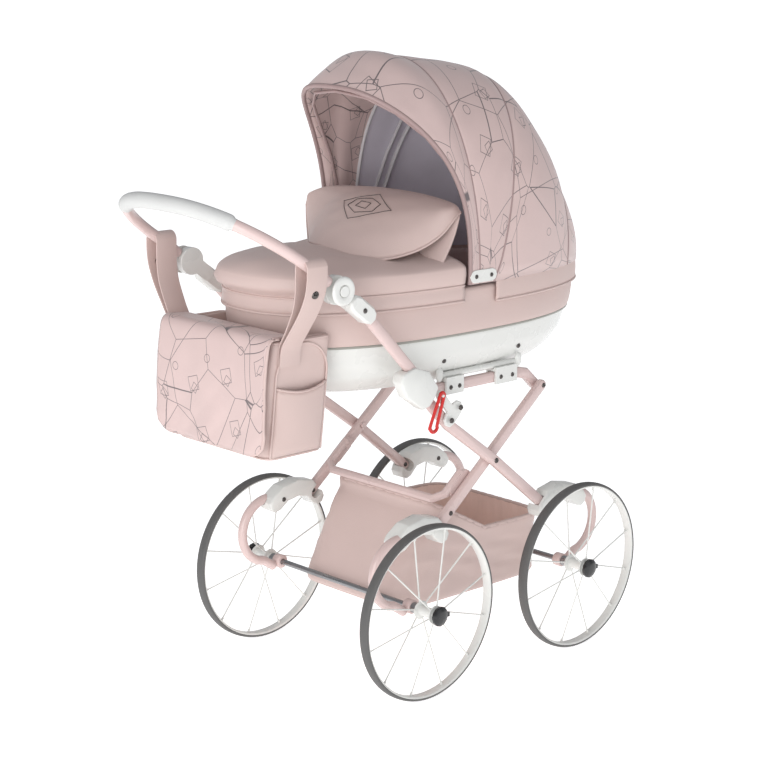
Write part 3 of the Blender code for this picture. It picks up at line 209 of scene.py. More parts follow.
def shape(name, verts, quads, material, body, slot, weld=True, smooth=True, uv=None, sharp=None):
    """A finished piece at the origin: corners welded, rides on its body, wears the material given; slot is
    not used.
    """
    mesh = bpy.data.meshes.new(name)
    mesh.from_pydata(np.asarray(verts, float).reshape(-1, 3).tolist(), [], np.asarray(quads).tolist())
    if uv is not None:
        layer = mesh.uv_layers.new(name="cut")
        layer.data.foreach_set("uv", np.asarray(uv, float).reshape(-1))
    if weld:
        work = bmesh.new()
        work.from_mesh(mesh)
        bmesh.ops.remove_doubles(work, verts=work.verts, dist=2e-6)
        work.to_mesh(mesh)
        work.free()
    if smooth:
        mesh.shade_smooth()
    if sharp:
        mesh.set_sharp_from_angle(angle=math.radians(sharp))
    mesh.materials.append(material)
    piece = bpy.data.objects.new(name, mesh)
    bpy.context.scene.collection.objects.link(piece)
    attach(piece, body)
    return piece


def rows_to_quads(rows, columns, closed_rows=False, closed_columns=False, start=0):
    """Corner numbers of the quads between neighbouring rows and columns of a grid."""
    grid = np.arange(rows * columns).reshape(rows, columns) + start
    if closed_rows:
        grid = np.concatenate([grid, grid[:1]], 0)
    if closed_columns:
        grid = np.concatenate([grid, grid[:, :1]], 1)
    return np.stack([grid[:-1, :-1], grid[:-1, 1:], grid[1:, 1:], grid[1:, :-1]], -1).reshape(-1, 4)


def turned(centre, profile, facets, closed=True):
    """A profile of (y, radius) turned about the axle's line through the centre; outward when it runs
    from low y to high y along the outside."""
    profile = np.asarray(profile, float)
    angle = np.linspace(0, 2 * math.pi, facets, endpoint=False)[:, None]
    ring = np.stack([centre[0] + profile[:, 1] * np.cos(angle), centre[1] + profile[:, 0] + 0 * angle,
                     centre[2] + profile[:, 1] * np.sin(angle)], -1)
    return ring, rows_to_quads(facets, len(profile), True, closed)


def rod(start, end, radius, sides=8):
    """A round bar between two points, its ends drawn to their middle points."""
    start, end = np.asarray(start, float), np.asarray(end, float)
    along = (end - start) / np.linalg.norm(end - start)
    side = np.cross(along, [0.0, 1.0, 0.0] if abs(along[1]) < 0.9 else [1.0, 0.0, 0.0])
    side /= np.linalg.norm(side)
    other = np.cross(along, side)
    angle = np.linspace(0, 2 * math.pi, sides, endpoint=False)[:, None]
    ring = np.cos(angle) * side + np.sin(angle) * other
    rings = np.stack([start + 0 * ring, start + ring * radius, end + ring * radius, end + 0 * ring])
    return rings, rows_to_quads(4, sides, False, True)


def gather(parts):
    """Several grids and their quads as one list of corners and one of quads."""
    verts, quads, count = [], [], 0
    for grid, faces in parts:
        flat = np.asarray(grid, float).reshape(-1, 3)
        verts.append(flat)
        quads.append(np.asarray(faces) + count)
        count += len(flat)
    return np.concatenate(verts), np.concatenate(quads)


def build_wheels():
    """Rim and tyre are turned profiles; each spoke runs from a flange to the rim's inner wall."""
    rim_profile = [(-0.0070, 0.1163), (-0.0072, 0.1148), (-0.0060, 0.1132), (-0.0030, 0.1126),
                   (0.0030, 0.1126), (0.0060, 0.1132), (0.0072, 0.1148), (0.0070, 0.1163), (0.0050, 0.1160),
                   (-0.0050, 0.1160)]
    turn = np.linspace(0, math.pi, 11)
    tread = [(-0.0077 * math.cos(a), 0.1166 + 0.0034 * math.sin(a) ** 0.7) for a in turn]
    tyre_profile = [(0.0074, 0.1158), (-0.0074, 0.1158)] + tread
    hub_profile = [(-HUB_HALF, 0.0044), (HUB_HALF, 0.0044), (HUB_HALF, 0.0070), (HUB_HALF - 0.0006, 0.0076),
                   (0.0144, 0.0076), (0.0143, 0.0122), (0.0137, 0.0126), (0.0126, 0.0126), (0.0120, 0.0120),
                   (0.0116, 0.0080), (0.0060, 0.0068), (-0.0060, 0.0068), (-0.0116, 0.0080),
                   (-0.0120, 0.0120), (-0.0126, 0.0126), (-0.0137, 0.0126), (-0.0143, 0.0122),
                   (-0.0144, 0.0076), (-HUB_HALF + 0.0006, 0.0076), (-HUB_HALF, 0.0070)]
    for end, x in WHEEL_CENTRES.items():
        for hand, sign in (("right", -1), ("left", 1)):
            centre = np.array([x, sign * TRACK_HALF, WHEEL_RADIUS])
            parts = [turned(centre, rim_profile, 96), turned(centre, hub_profile[::-1], 32)]
            for k in range(SPOKE_COUNT):
                angle = 2 * math.pi * (k + 0.5) / SPOKE_COUNT
                out = np.array([math.cos(angle), 0, math.sin(angle)])
                lace = np.array([0, 0.0131 if k % 2 else -0.0131, 0])
                parts.append(rod(centre + out * 0.0105 + lace, centre + out * 0.1130, 0.0011))
                parts.append(rod(centre + out * 0.1080, centre + out * 0.1130, 0.0017))
            body = f"wheel_{end}_{hand}"
            wheel = shape(f"spoked_{body}", *gather(parts), white_plastic, body, "white_plastic", sharp=40)
            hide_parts(body)
            tyre = shape(f"rubber_tyre_{end}_{hand}", *turned(centre, tyre_profile, 96), rubber, body,
                         "tyre_rubber", sharp=50)
            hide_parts(f"tyre_{end}_{hand}")


build_wheels()

# Frame
# Flat-oval pink steel tubes crossed at one bolt, white two-shell knuckles, C-shaped tube springs,
# lock plates and covers, saddles and axles. The CAD shapes stay, with eased edges and their finish.
frame_paint = finish("pink_paint", (212, 188, 184), 0.34, 0.04, 0.05, 0.0015, 0.04,
                     Coat_Weight=0.35, Coat_Roughness=0.12)
PAINTED = ["front_tube", "rear_tube", "handle_tube", "rail"]
WHITE_MOULDED = ["knuckle_front", "knuckle_rear", "lock_cover", "lock_plate", "saddle_back", "saddle_front",
                 "joint_housing", "hood_bracket"]


def body_of(node):
    return next(b for b, held in frame["record"]["behaviour"]["bodies"].items() if node in held)


def eased_copy(node, material, ease=0.0006):
    """A welded copy of a CAD solid with its edges rounded over by ease metres."""
    mesh = nodes[node].data.copy()
    mesh.name = f"eased_{node}"
    work = bmesh.new()
    work.from_mesh(mesh)
    bmesh.ops.remove_doubles(work, verts=work.verts, dist=1e-6)
    bmesh.ops.dissolve_limit(work, angle_limit=math.radians(1), verts=work.verts, edges=work.edges)
    work.to_mesh(mesh)
    work.free()
    mesh.materials.clear()
    mesh.materials.append(material)
    mesh.shade_smooth()
    mesh.set_sharp_from_angle(angle=math.radians(38))
    piece = bpy.data.objects.new(f"eased_{node}", mesh)
    bpy.context.scene.collection.objects.link(piece)
    if ease:
        round_over = piece.modifiers.new("eased", "BEVEL")
        round_over.width = ease
        round_over.segments = 2
        round_over.limit_method = "ANGLE"
        round_over.angle_limit = math.radians(38)
        round_over.harden_normals = True
    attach(piece, body_of(node))
    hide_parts(node)
    return piece


for hand in ("right", "left"):
    for kind in PAINTED:
        eased_copy(f"{kind}_{hand}", frame_paint)
    for kind in WHITE_MOULDED:
        eased_copy(f"{kind}_{hand}", white_plastic)
    for end in ("rear", "front"):
        eased_copy(f"hub_cap_{end}_{hand}", black_plastic, 0.0004)
    eased_copy(f"button_{hand}", white_plastic)
for end in ("rear", "front"):
    eased_copy(f"{end}_axle", axle_steel, 0.0003)
eased_copy("basket_hoop", frame_paint)


def smooth_path(keys, count):
    """Points evenly spread along a Catmull-Rom curve through the keys."""
    keys = np.asarray(keys, float)
    ends = np.concatenate([[2 * keys[0] - keys[1]], keys, [2 * keys[-1] - keys[-2]]])
    place = np.linspace(0, len(keys) - 1, 24 * len(keys))
    i = np.minimum(place.astype(int), len(keys) - 2)
    t = (place - i)[:, None]
    a, b, c, d = ends[i], ends[i + 1], ends[i + 2], ends[i + 3]
    line = 0.5 * (2 * b + (c - a) * t + (2 * a - 5 * b + 4 * c - d) * t ** 2
                  + (3 * b - a - 3 * c + d) * t ** 3)
    run = np.concatenate([[0], np.cumsum(np.linalg.norm(np.diff(line, axis=0), axis=1))])
    even = np.linspace(0, run[-1], count)
    return np.stack([np.interp(even, run, line[:, k]) for k in range(line.shape[1])], -1)


def tube(path, radius, sides=12, up=(0.0, 1.0, 0.0), closed=False, flat=1.0):
    """A round tube along a path; its section stands on the path's tangent and the up direction.

    radius may be one number or one for each point; flat scales the section along up.
    """
    path = np.asarray(path, float)
    if closed:
        tangent = np.roll(path, -1, 0) - np.roll(path, 1, 0)
    else:
        tangent = np.gradient(path, axis=0)
    tangent /= np.linalg.norm(tangent, axis=1, keepdims=True)
    side = np.cross(tangent, np.asarray(up, float))
    side /= np.linalg.norm(side, axis=1, keepdims=True)
    other = np.cross(side, tangent)
    angle = np.linspace(0, 2 * math.pi, sides, endpoint=False)
    reach = np.broadcast_to(np.asarray(radius, float), (len(path),))[:, None, None]
    ring = np.cos(angle)[None, :, None] * side[:, None] + flat * np.sin(angle)[None, :, None] * other[:, None]
    rings = path[:, None] + reach * ring
    if not closed:
        rings = np.concatenate([np.repeat(path[:1, None], sides, 1), rings,
                                np.repeat(path[-1:, None], sides, 1)])
    return rings, rows_to_quads(len(rings), sides, closed, True)[:, ::-1]


def build_springs():
    """Each spring is a tube bent in a C from the knuckle, out past the axle and back under it."""
    centre_z = (0.2170 + WHEEL_RADIUS) / 2 + 0.003
    angle = np.radians(np.linspace(78, 262, 15)[1:])
    reach = 0.0760 - 0.0067 - 0.0240
    bow = np.stack([-0.0240 + reach * np.cos(angle), centre_z + reach * np.sin(angle)], -1)
    route = np.concatenate([[[-0.0120, 0.2150]], bow, [[-0.0120, 0.1150]]])
    for end, flip in (("rear", 0), ("front", 1)):
        for hand, sign in (("right", -1), ("left", 1)):
            x = AXLE_X + (0.3043 - route[:, 0] if flip else route[:, 0])
            keys = np.stack([x, np.full(len(x), sign * 0.1305), route[:, 1]], -1)
            parts = [tube(smooth_path(keys, 60), 0.0065, 16)]
            centre = (WHEEL_CENTRES[end], sign * 0.1305, WHEEL_RADIUS)
            eye = [(-0.0066, 0.0043), (-0.0066, 0.0086), (-0.0056, 0.0096), (0.0056, 0.0096),
                   (0.0066, 0.0086), (0.0066, 0.0043)]
            parts.append(turned(centre, eye, 24))
            name = f"spring_{end}_{hand}"
            spring = shape(f"bent_{name}", *gather(parts), frame_paint, body_of(name), "frame_paint",
                           sharp=50)
            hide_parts(name)


build_springs()

# Screws
# Domed cross-head screws hold the plates, the saddles, the brackets, the tubes' crossing and the hood.
screw_metal = finish("screw_metal", (96, 92, 90), 0.34, 0.15, 0.01, 0.0005, 0.08, metal=1.0)


def screw_head(place, sign, radius):
    """A dome of radius metres on a side face, its outer side along sign, with a cross cut into it."""
    angle = np.linspace(0, 2 * math.pi, 24, endpoint=False)[:, None]
    share = np.array([1.0, 1.0, 0.92, 0.75, 0.5, 0.25, 0.0])
    rise = np.array([-0.3, 0.0, 0.20, 0.36, 0.46, 0.50, 0.50])
    slot = np.where((np.abs(np.sin(2 * angle)) < 0.35) & (share > 0.1) & (share < 0.6), 0.22, 0.0)
    slot = slot + np.where(share < 0.1, 0.22, 0.0)
    ring = np.stack([place[0] + radius * share * np.cos(angle),
                     place[1] + sign * radius * (rise - slot),
                     place[2] + radius * share * np.sin(angle) * 1.0 + 0 * rise], -1)
    quads = rows_to_quads(24, len(share), True, False)
    return ring, quads if sign < 0 else quads[:, ::-1]


def build_screws():
    """Each is (body, x from the rear axle, height, side face's distance from the middle, radius)."""
    places = [("chassis", 0.0500, 0.3698, 0.1519, 0.0036), ("chassis", 0.0667, 0.3850, 0.1519, 0.0036),
              ("carrycot", 0.1010, 0.5540, 0.1416, 0.0030), ("carrycot", 0.1300, 0.5540, 0.1416, 0.0030),
              ("rails", 0.0792, 0.4048, 0.1208, 0.0032), ("rails", 0.0960, 0.4050, 0.1208, 0.0032),
              ("rails", 0.1780, 0.4050, 0.1208, 0.0032), ("rails", 0.2010, 0.4050, 0.1208, 0.0032),
              ("chassis", 0.1496, 0.2963, 0.1425, 0.0038), ("rear_frame", 0.0750, 0.2335, 0.1304, 0.0034),
              ("rear_frame", 0.2565, 0.3830, 0.1304, 0.0034), ("chassis", -0.1140, 0.5365, 0.1546, 0.0034),
              ("carrycot", 0.0645, 0.4430, 0.1212, 0.0034), ("carrycot", 0.2150, 0.4430, 0.1180, 0.0034)]
    made = {}
    for body, x, z, face, radius in places:
        for sign in (-1, 1):
            made.setdefault(body, []).append(screw_head((AXLE_X + x, sign * face, z), sign, radius))
    for x in (0.0530, -0.0100):
        for sign in (-1, 1):
            face = 0.1188 if x > 0 else 0.1106
            made["rear_frame"].append(screw_head((AXLE_X + x, sign * face, 0.2165), -sign, 0.0034))
            face = 0.1313 if x > 0 else 0.1231
            made["chassis"].append(screw_head((AXLE_X + 0.3043 - x, sign * face, 0.2165), -sign, 0.0034))
    for body, parts in made.items():
        shape(f"screws_{body}", *gather(parts), screw_metal, body, "steel", sharp=40)


build_screws()

# Handle
# One bent tube, pink from the joints round to a thick pale foam grip along the crossbar.
foam = finish("pale_foam", (204, 204, 202), 0.60, 0.05, 0.03, 0.0010, 0.30, pores=True)
BAR_BEND = (AXLE_X - 0.1965, 0.5968)


def bar_line():
    """The bar's route: two short arms joined by a bow whose reach and width follow sine and cosine powers."""
    half = 0.1450
    arm = [(AXLE_X - 0.1688, -half, 0.5770), (BAR_BEND[0], -half, BAR_BEND[1])]
    angle = np.linspace(0, math.pi, 57)[2:-2]
    reach = np.sin(angle) ** 0.95
    across = -np.sign(np.cos(angle)) * np.abs(np.cos(angle)) ** 0.79 * half
    bow = np.stack([BAR_BEND[0] - 0.1135 * reach, across, BAR_BEND[1] + 0.0738 * reach], -1)
    return np.concatenate([arm, bow, [(x, -y, z) for x, y, z in arm[::-1]]])


def build_handle():
    line = smooth_path(bar_line(), 220)
    bar = shape("bent_handle_bar", *tube(line, 0.0074, 20, (0.0, 0.0, 1.0)), frame_paint, "handle",
                "frame_paint")
    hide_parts("handle_bar")
    held = line[np.abs(line[:, 1]) < 0.106]
    held = held[held[:, 0] < AXLE_X - 0.20]
    run = np.linspace(0, 1, len(held))
    swell = 0.0104 * np.clip(1 - np.abs(2 * run - 1) ** 60, 0.75, 1)
    grip = shape("foam_grip", *tube(held, swell, 24, (0.0, 0.0, 1.0)), foam, "handle", "foam", sharp=50)
    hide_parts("grip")




def build_joint_covers():
    """A domed ring round each push button closes the height joint's outer half."""
    parts = []
    for sign in (-1, 1):
        centre = np.array([AXLE_X - 0.1525, 0.0, 0.5655])
        profile = [(0.1553, 0.0184), (0.1570, 0.0180), (0.1581, 0.0166), (0.1585, 0.0145), (0.1583, 0.0100),
                   (0.1578, 0.0084), (0.1570, 0.0075), (0.1553, 0.0074)]
        ring, quads = turned(centre, [(sign * y, r) for y, r in profile], 40)
        parts.append((ring, quads if sign > 0 else quads[:, ::-1]))
    shape("joint_covers", *gather(parts), white_plastic, "handle", "white_plastic", sharp=50)


build_handle()
build_joint_covers()

# Carrycot
# A white moulded tray hangs in a padded faux-leather band, with a grey piping between them.
# Two rods on screwed feet under its edge drop into the rails' saddles.
COT_X = AXLE_X + 0.1144
COT_HALF = np.array([0.2920, 0.1350])
SHELL_Z = (0.4070, 0.4780)
BELT_TOP = 0.5400
leather = finish("faux_leather", (204, 181, 175), 0.50, 0.05, 0.06, 0.0011, 0.22, pores=True,
                 Sheen_Weight=0.12, Sheen_Roughness=0.4)
silver_piping = finish("silver_piping", (152, 151, 143), 0.36, 0.08, 0.02, 0.0008, 0.18, metal=0.3)


def plan(turn, half, power=2.4):
    """Places on the carrycot's outline, between an ellipse and a rectangle; turn 0 is the hood end."""
    c, s = np.cos(turn), np.sin(turn)
    return np.stack([COT_X + half[0] * np.sign(c) * np.abs(c) ** (2 / power),
                     half[1] * np.sign(s) * np.abs(s) ** (2 / power)], -1)


def even_plan(half, count, power=2.4):
    """The outline's points at even distances along it, starting at the hood end."""
    fine = plan(np.linspace(0, 2 * math.pi, 1441), np.asarray(half, float), power)
    run = np.concatenate([[0], np.cumsum(np.linalg.norm(np.diff(fine, axis=0), axis=1))])
    even = np.linspace(0, run[-1], count, endpoint=False)
    return np.stack([np.interp(even, run, fine[:, k]) for k in (0, 1)], -1)


def oval_rings(levels, count=120, power=2.4):
    """One ring for each level of (height, inset along the length, inset across)."""
    rings = []
    for z, inset_l, inset_w in levels:
        ring = even_plan(COT_HALF - np.array([inset_l, inset_w]), count, power)
        rings.append(np.column_stack([ring, np.full(count, z)]))
    return np.stack(rings)


def span_uv(grid, closed, flipped=False):
    """UV corners in metres: the run along each row's middle line and the run down the middle column.

    flipped is for quads whose corners are named the other way round.
    """
    ring = np.concatenate([grid, grid[:, :1]], 1) if closed else grid
    across = np.linalg.norm(np.diff(ring, axis=1), axis=2).mean(0)
    down = np.linalg.norm(np.diff(ring, axis=0), axis=2).mean(1)
    u = np.concatenate([[0], np.cumsum(across)])
    v = np.concatenate([[0], np.cumsum(down)])
    uv = np.stack(np.meshgrid(u, v), -1)
    corners = [uv[:-1, :-1], uv[:-1, 1:], uv[1:, 1:], uv[1:, :-1]]
    return np.stack(corners[::-1] if flipped else corners, -2).reshape(-1, 2)


def shell_curve():
    """Height with insets, from the middle of the floor out and up to the rim."""
    share = np.array([0.0, 0.05, 0.14, 0.34, 0.62, 1.0])
    inset_l = np.array([0.090, 0.074, 0.060, 0.040, 0.022, 0.012])
    inset_w = np.array([0.054, 0.0435, 0.0350, 0.0190, 0.0090, 0.0045])
    fine = np.linspace(0, 1, 17) ** 1.4
    z = SHELL_Z[0] + fine * (SHELL_Z[1] - SHELL_Z[0])
    return list(zip(z, np.interp(fine, share, inset_l), np.interp(fine, share, inset_w)))


def build_carrycot():
    """The shell and the band are rings of the outline at rising heights; rods and feet are round bars."""
    outside = shell_curve()
    middle = [(SHELL_Z[0], COT_HALF[0] - 0.01, COT_HALF[1] - 0.005), (SHELL_Z[0], 0.15, 0.09)]
    lip = [(SHELL_Z[1] + 0.0006, 0.0125, 0.0050), (SHELL_Z[1] + 0.0006, 0.0150, 0.0075)]
    inside = [(max(z, SHELL_Z[0] + 0.003) + 0.0002, a + 0.003, b + 0.003) for z, a, b in outside[::-1]]
    rings = oval_rings(middle + outside + lip + inside
                       + [(SHELL_Z[0] + 0.0032, COT_HALF[0] - 0.01, COT_HALF[1] - 0.005)])
    parts = [(rings, rows_to_quads(len(rings), 120, False, True)), ]
    shell = shape("moulded_tray", *gather(parts), white_plastic, "carrycot", "white_plastic", sharp=50)
    rods = []
    for sign in (-1, 1):
        y = sign * 0.1115
        rods.append(tube([(AXLE_X + x, y, 0.4205) for x in np.linspace(0.0665, 0.2150, 12)], 0.0045, 16))
        for x in (0.0630, 0.2185):
            foot = np.array([(AXLE_X + x, y + sign * 0.0030, 0.4135 + 0.0195 * k / 8) for k in range(9)])
            wide = 0.0062 * np.clip(1 - np.abs(np.linspace(-1, 1, 9)) ** 5, 0.35, 1)
            rods.append(tube(foot, wide, 20, (0.0, 1.0, 0.0), flat=0.55))
    shape("hanging_rods", *gather(rods), white_plastic, "carrycot", "white_plastic", sharp=50)
    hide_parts("carrycot_shell")
    band = [(0.4784, 0.0105, 0.0033), (0.4800, 0.0085, 0.0012), (0.4850, 0.0068, -0.0004),
            (0.4950, 0.0040, -0.0012), (0.5070, 0.0018, -0.0010), (0.5180, 0.0006, 0.0002),
            (0.5250, 0.0004, 0.0003), (0.5340, 0.0005, 0.0004), (0.5382, 0.0014, 0.0012),
            (0.5400, 0.0040, 0.0040), (0.5403, 0.0075, 0.0075), (0.5385, 0.0112, 0.0112),
            (0.5320, 0.0124, 0.0124), (0.5200, 0.0140, 0.0135), (0.5000, 0.0200, 0.0160),
            (0.4790, 0.0240, 0.0168)]
    low = [(max(z, 0.4150), a + 0.0105, b + 0.0100) for z, a, b in outside[::-1]][1:-1]
    floor = [(0.4150, 0.120, 0.080), (0.4150, COT_HALF[0] - 0.01, COT_HALF[1] - 0.005)]
    under = [(0.4115, COT_HALF[0] - 0.01, COT_HALF[1] - 0.005), (0.4115, 0.120, 0.080)]
    wall = [(max(z, 0.4112), a + 0.0042, b + 0.0040) for z, a, b in outside]
    rings = oval_rings(under + wall + band + low + floor)
    lining = shape("padded_band", rings, rows_to_quads(len(rings), 120, False, True), leather, "carrycot",
                   "faux_leather", uv=span_uv(rings, True), sharp=60)
    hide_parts("carrycot_lining")
    ring = oval_rings([(0.4785, 0.0108, 0.0034)], 240)[0]
    shape("band_piping", *tube(ring, 0.0023, 12, (0.0, 0.0, 1.0), closed=True), silver_piping, "carrycot",
          "faux_leather")


build_carrycot()

# Mattress
# A soft flat pad in a pale cotton cover lies on the carrycot's floor.
mattress_cotton = finish("mattress_cotton", (222, 214, 212), 0.85, 0.05, 0.03, 0.0007, 0.35, Sheen_Weight=0.2)


def build_mattress():
    """Rings of the carrycot's outline whose height follows a rounded edge, with shallow quilted dips."""
    reach = np.concatenate([np.linspace(0.02, 0.92, 18), [0.955, 0.98, 0.995, 1.0, 0.995, 0.98, 0.955],
                            np.linspace(0.9, 0.02, 6)])
    edge = np.concatenate([np.full(18, 1.0), [0.90, 0.74, 0.55, 0.40, 0.25, 0.10, 0.02], np.zeros(6)])
    outline = even_plan(COT_HALF - np.array([0.0880, 0.0585]), 120)
    centre = np.array([COT_X, 0.0])
    flat = centre + (outline - centre)[None] * reach[:, None, None]
    quilt = np.cos((flat[..., 0] - COT_X) * math.pi / 0.05) ** 2 * np.cos(flat[..., 1] * math.pi / 0.05) ** 2
    top = edge[:, None] > 0.95
    z = 0.4151 + 0.0215 * edge[:, None] + np.where(top, 0.0030 * quilt * (1 - reach[:, None] ** 6), 0)
    grid = np.concatenate([flat, z[..., None]], -1)
    pad = shape("quilted_mattress", grid, rows_to_quads(len(grid), 120, False, True)[:, ::-1],
                mattress_cotton,
                "carrycot", "mattress_cover", uv=span_uv(grid, True, True))
    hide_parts("mattress")


build_mattress()

# Apron
# A padded faux-leather cover buttons over the foot end; its skirt hangs outside the band, a seam
# runs round its shoulder, and the padded top rolls out a little over the end.


def crease(x, y, size, amount):
    """Soft folds: the sum of three slanted waves of about size metres, amount metres high."""
    return amount * (0.5 * np.sin((x * 0.8 + y * 1.3) / size * 6.3)
                     + 0.3 * np.sin((x * 1.9 - y * 0.7) / size * 6.3 + 1.0)
                     + 0.2 * np.sin((x * 0.4 + y * 2.6) / size * 6.3 + 2.2))


def fold_over(values, share):
    """Catmull-Rom curve through rows of values at evenly numbered places; share runs 0 to 1."""
    values = np.asarray(values, float)
    ends = np.concatenate([[2 * values[0] - values[1]], values, [2 * values[-1] - values[-2]]])
    place = np.asarray(share) * (len(values) - 1)
    i = np.clip(place.astype(int), 0, len(values) - 2)
    t = (place - i).reshape(place.shape + (1,) * (values.ndim - 1))
    a, b, c, d = ends[i], ends[i + 1], ends[i + 2], ends[i + 3]
    return 0.5 * (2 * b + (c - a) * t + (2 * a - 5 * b + 4 * c - d) * t ** 2
                  + (3 * b - a - 3 * c + d) * t ** 3)


def build_apron():
    """Each column climbs the skirt at one place of the outline, rolls over the seam and arches to the
    middle line by a power dome; the middle line rises from the foot end to the flap's hem."""
    count = 121
    fine = plan(np.linspace(0, 2 * math.pi, 2881), COT_HALF + 0.0033)
    run = np.concatenate([[0], np.cumsum(np.linalg.norm(np.diff(fine, axis=0), axis=1))])
    start = run[np.argmax(fine[:, 0] < AXLE_X + 0.0825)]
    even = np.linspace(start, run[-1] - start, count)
    edge = np.stack([np.interp(even, run, fine[:, k]) for k in (0, 1)], -1)
    out = np.gradient(edge, axis=0)
    out = np.stack([out[:, 1], -out[:, 0]], -1)
    out /= np.linalg.norm(out, axis=1, keepdims=True)
    foot = np.clip((COT_X - 0.16 - edge[:, 0]) / 0.13, 0, 1) ** 1.5
    skirt = [(0.0004, 0.5225), (0.0008, 0.5300), (0.0006, 0.5380), (-0.0012, 0.5440), (0.0010, 0.5480)]
    rows = [np.column_stack([edge + out * grow, np.full(count, z)]) for grow, z in skirt]
    bulge = 0.0025 + 0.0105 * foot
    for share, z in ((0.7, 0.5530), (1.0, 0.5600), (0.7, 0.5670)):
        rows.append(np.column_stack([edge + out * (bulge * share)[:, None], np.full(count, z)]))
    top_x = np.array([AXLE_X - 0.19, AXLE_X - 0.15, AXLE_X - 0.10, AXLE_X - 0.05, AXLE_X + 0.0,
                      AXLE_X + 0.05])
    top_z = np.array([0.5800, 0.5900, 0.5960, 0.5930, 0.5890, 0.5960])
    spine_x = np.clip(edge[:, 0] + 0.055 * foot, AXLE_X - 0.15, None)
    lean = np.clip((edge[:, 0] - (AXLE_X + 0.03)) / 0.05, 0, 1)
    spine_x = spine_x - 0.030 * lean
    spine = np.column_stack([spine_x, np.zeros(count), np.interp(spine_x, top_x, top_z)])
    brink = rows[-1]
    share = 1 - np.cos(np.linspace(0, math.pi / 2, 22)[1:])
    for s in share:
        dome = (1 - (1 - s) ** 1.75) ** (1 / 1.75)
        flat = brink[:, :2] + (spine[:, :2] - brink[:, :2]) * s
        z = brink[:, 2] + (spine[:, 2] - brink[:, 2]) * dome
        z = z + crease(flat[:, 0], flat[:, 1], 0.11, 0.0016) * math.sin(math.pi * min(s * 1.2, 1))
        rows.append(np.column_stack([flat, z]))
    grid = np.stack(rows)
    apron = shape("padded_apron", grid, rows_to_quads(len(grid), count), leather, "carrycot", "faux_leather",
                  uv=span_uv(grid, False))
    wall = apron.modifiers.new("lining", "SOLIDIFY")
    wall.thickness = 0.0022
    wall.offset = -1
    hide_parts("apron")
    line = grid[3] + np.column_stack([out * 0.0012, np.zeros(count)])
    shape("apron_seam", *tube(line, 0.0013, 10, (0.0, 0.0, 1.0)), leather, "carrycot", "faux_leather")
    hem = grid[0] + np.column_stack([out * 0.0002, np.full(count, 0.0010)])
    shape("apron_hem", *tube(hem, 0.0017, 10, (0.0, 0.0, 1.0)), leather, "carrycot", "faux_leather")


build_apron()

# Wind flap
# A padded flap is sewn to the apron's edge and folds over towards the handle. Its outer face is plain
# faux leather with a thin line motif, its back is printed satin, and a leather piping edges it.


